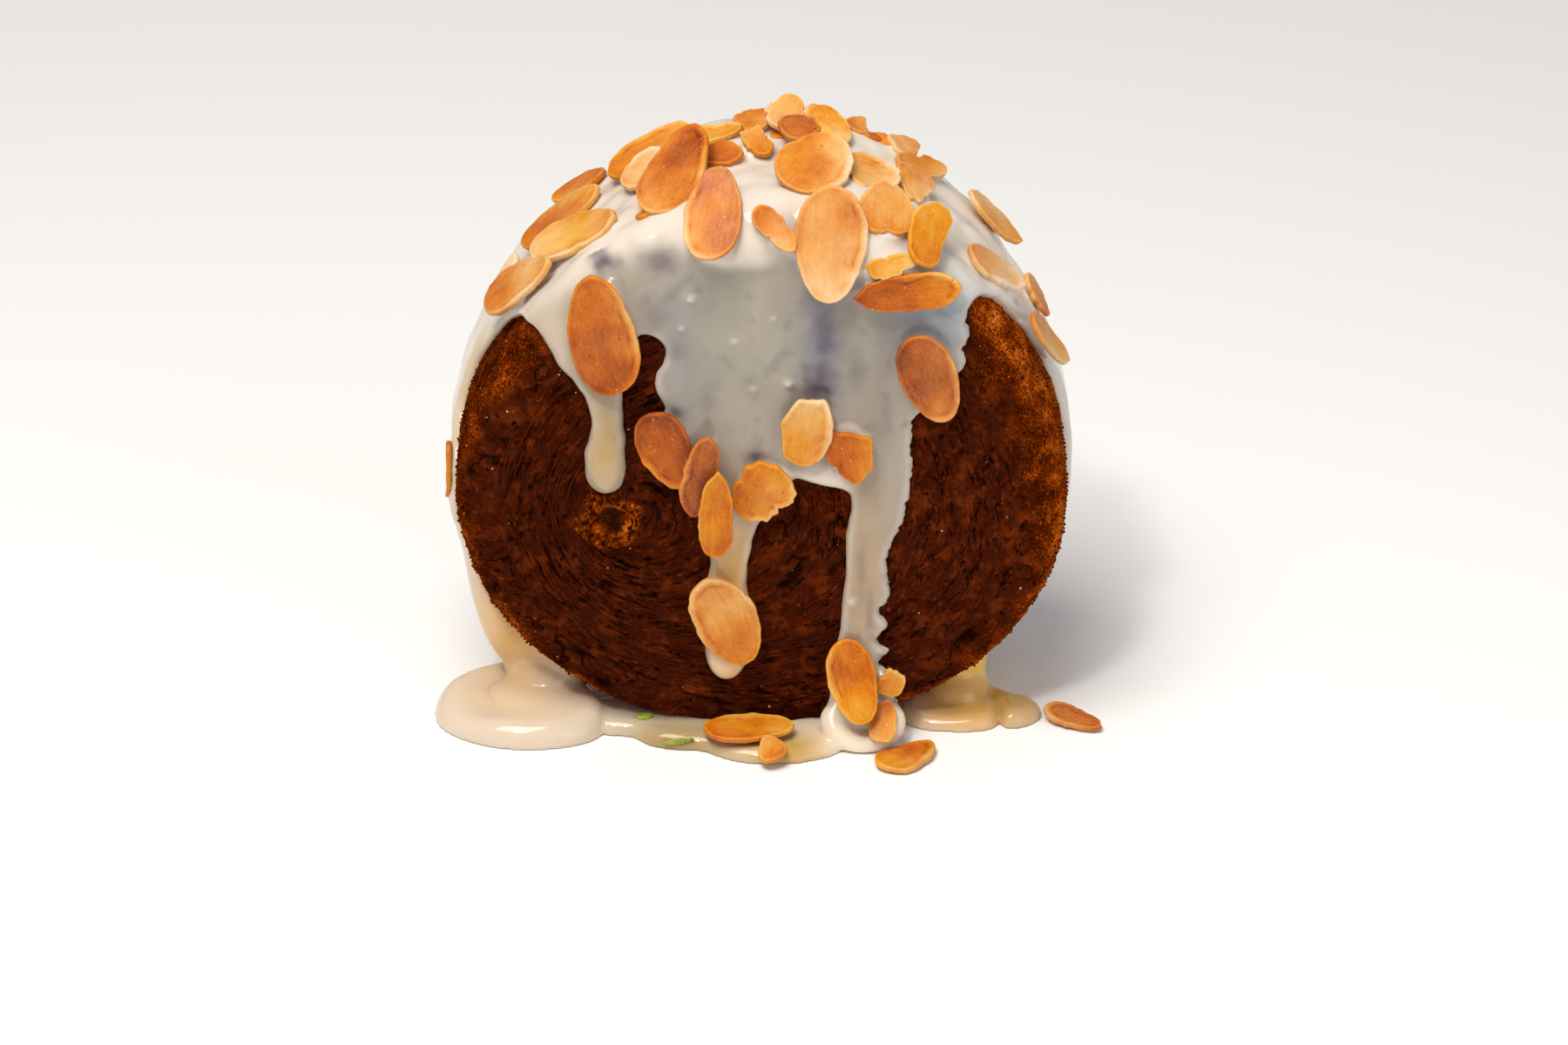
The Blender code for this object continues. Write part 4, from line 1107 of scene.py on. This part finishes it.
def almond_finish(slot):
    made, tree, shader = new_finish(slot + "_finish")
    where = object_place(tree)
    toast, blush = attribute(tree, "toast"), attribute(tree, "blush")
    along = attribute(tree, "along", "Vector")
    grain = speckle(tree, along, 1.1, 4, 0.6)
    fine, specks = grain_of(tree, where, 1500)
    level = toast
    for tone in (grain, fine):
        level = sums(tree, "MULTIPLY_ADD", sums(tree, "SUBTRACT", tone, 0.5), 0.20, level)
    golden = ramp(tree, level, [
        (0.0, 234, 206, 146), (0.25, 222, 166, 60), (0.45, 210, 128, 4),
        (0.62, 187, 90, 0), (0.80, 136, 54, 1), (1.0, 58, 22, 3)])
    pinkish = ramp(tree, level, [
        (0.0, 234, 208, 176), (0.25, 224, 174, 116), (0.45, 211, 138, 68),
        (0.62, 184, 100, 40), (0.80, 132, 63, 26), (1.0, 62, 27, 13)])
    dusty = speckle(tree, along, 4.5, 4, 0.75)
    dust = ramp(tree, dusty, [(0.52, 0.0), (0.72, 0.22)])
    # Its specks become painted glints: tiny highlights laid into the colour.
    tips, painted_glints = grain_of(tree, where, 2400)
    base = stained(tree, mix(tree, blush, golden, pinkish), (specks, 0.7, (84, 34, 10)),
                   (dust, 1, (238, 200, 150)), (painted_glints, 0.55, (252, 226, 190)))
    feed(tree, shader, Base_Color=base, Roughness=0.34, Specular_IOR_Level=0.2, Subsurface_Weight=0.15,
         Subsurface_Radius=(1.0, 0.5, 0.2), Subsurface_Scale=0.001)
    relief(tree, shader, mix(tree, 0.5, dusty, tips), 0.1, 0.5)
    return made


# ---- the stage --------------------------------------------------------------------------------

CAMERA_PLACE = (3.3, -968.0, 523.0)
CAMERA_TILT = 63                # degrees from straight down
LENS = 150
LIT_HEIGHT = 45                 # the lights look at the roll's middle
LIGHTS = [  # name, place, size in metres, power, colour
    ("key", (-170, -250, 800), 0.45, 5.5, (255, 247, 236)),
    ("fill", (500, -500, 350), 0.5, 1.0, (248, 248, 250)),
    ("glint", (-200, -520, 800), 0.1, 2.2, (255, 252, 246))]
FLOOR_SIZE = 6                  # metres


def build_stage():
    nothing_selected()
    bpy.ops.mesh.primitive_plane_add(size=FLOOR_SIZE, location=(0, 0, 0))
    floor = bpy.context.object
    floor.name = "floor"
    made, tree, shader = new_finish("floor_finish")
    feed(tree, shader, Base_Color=colour(252, 253, 255), Roughness=0.6)
    floor.data.materials.append(made)
    world = bpy.data.worlds.new("studio")
    bpy.context.scene.world = world
    world.use_nodes = True
    feed(world.node_tree, world.node_tree.nodes["Background"], Color=colour(244, 244, 243), Strength=0.32)
    for name, place, size, power, shade in LIGHTS:
        light = bpy.data.lights.new(name, "AREA")
        light.size = size
        light.energy = power
        light.color = colour(*shade)[:3]
        lamp = bpy.data.objects.new(name, light)
        bpy.context.scene.collection.objects.link(lamp)
        lamp.location = Vector(place) * MM
        towards = Vector((0, 0, LIT_HEIGHT * MM)) - lamp.location
        lamp.rotation_euler = towards.to_track_quat("-Z", "Y").to_euler()
    camera = bpy.data.cameras.new("camera")
    camera.lens = LENS
    camera.sensor_width = 36
    holder = bpy.data.objects.new("camera", camera)
    bpy.context.scene.collection.objects.link(holder)
    holder.location = Vector(CAMERA_PLACE) * MM
    holder.rotation_euler = (math.radians(CAMERA_TILT), 0, 0)
    bpy.context.scene.camera = holder
    bpy.context.scene.view_settings.view_transform = "Standard"


def finished(piece, material, slot, *nodes):
    piece.data.materials.clear()
    piece.data.materials.append(material)
    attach(piece, "root")
    if nodes:
        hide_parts(*nodes)


build_stage()
BAKED_GRAIN = baked_grain()
dough, dough_points, dough_normals, crusty = build_dough()
finished(dough, dough_finish(), "dough", "roll")
icing, icing_points, icing_faces = build_icing()
finished(icing, icing_finish(), "icing", "icing")
almond_finishes = {slot: almond_finish(slot) for slot in ("almond_pale", "almond_golden", "almond_brown")}
slots = {entry["node"]: entry["material_slot"] for entry in frame["record"]["subparts"]}
for number, name in enumerate(SLICES, start=1):
    finished(build_slice(name, number), almond_finishes[slots[name]], slots[name], name)
icing_skin = BVHTree.FromPolygons(icing_points.tolist(), icing_faces.tolist())
finished(build_almond_bits(icing_skin), almond_finishes["almond_golden"], "almond_golden")
green_bits = joined("green_bits", lay_chips(icing_skin, GREEN_BITS, 10, 2))
finished(green_bits, green_finish(), "almond_pale")
finished(build_grains(dough_points, dough_normals, crusty, icing_skin), grains_finish(), "dough")
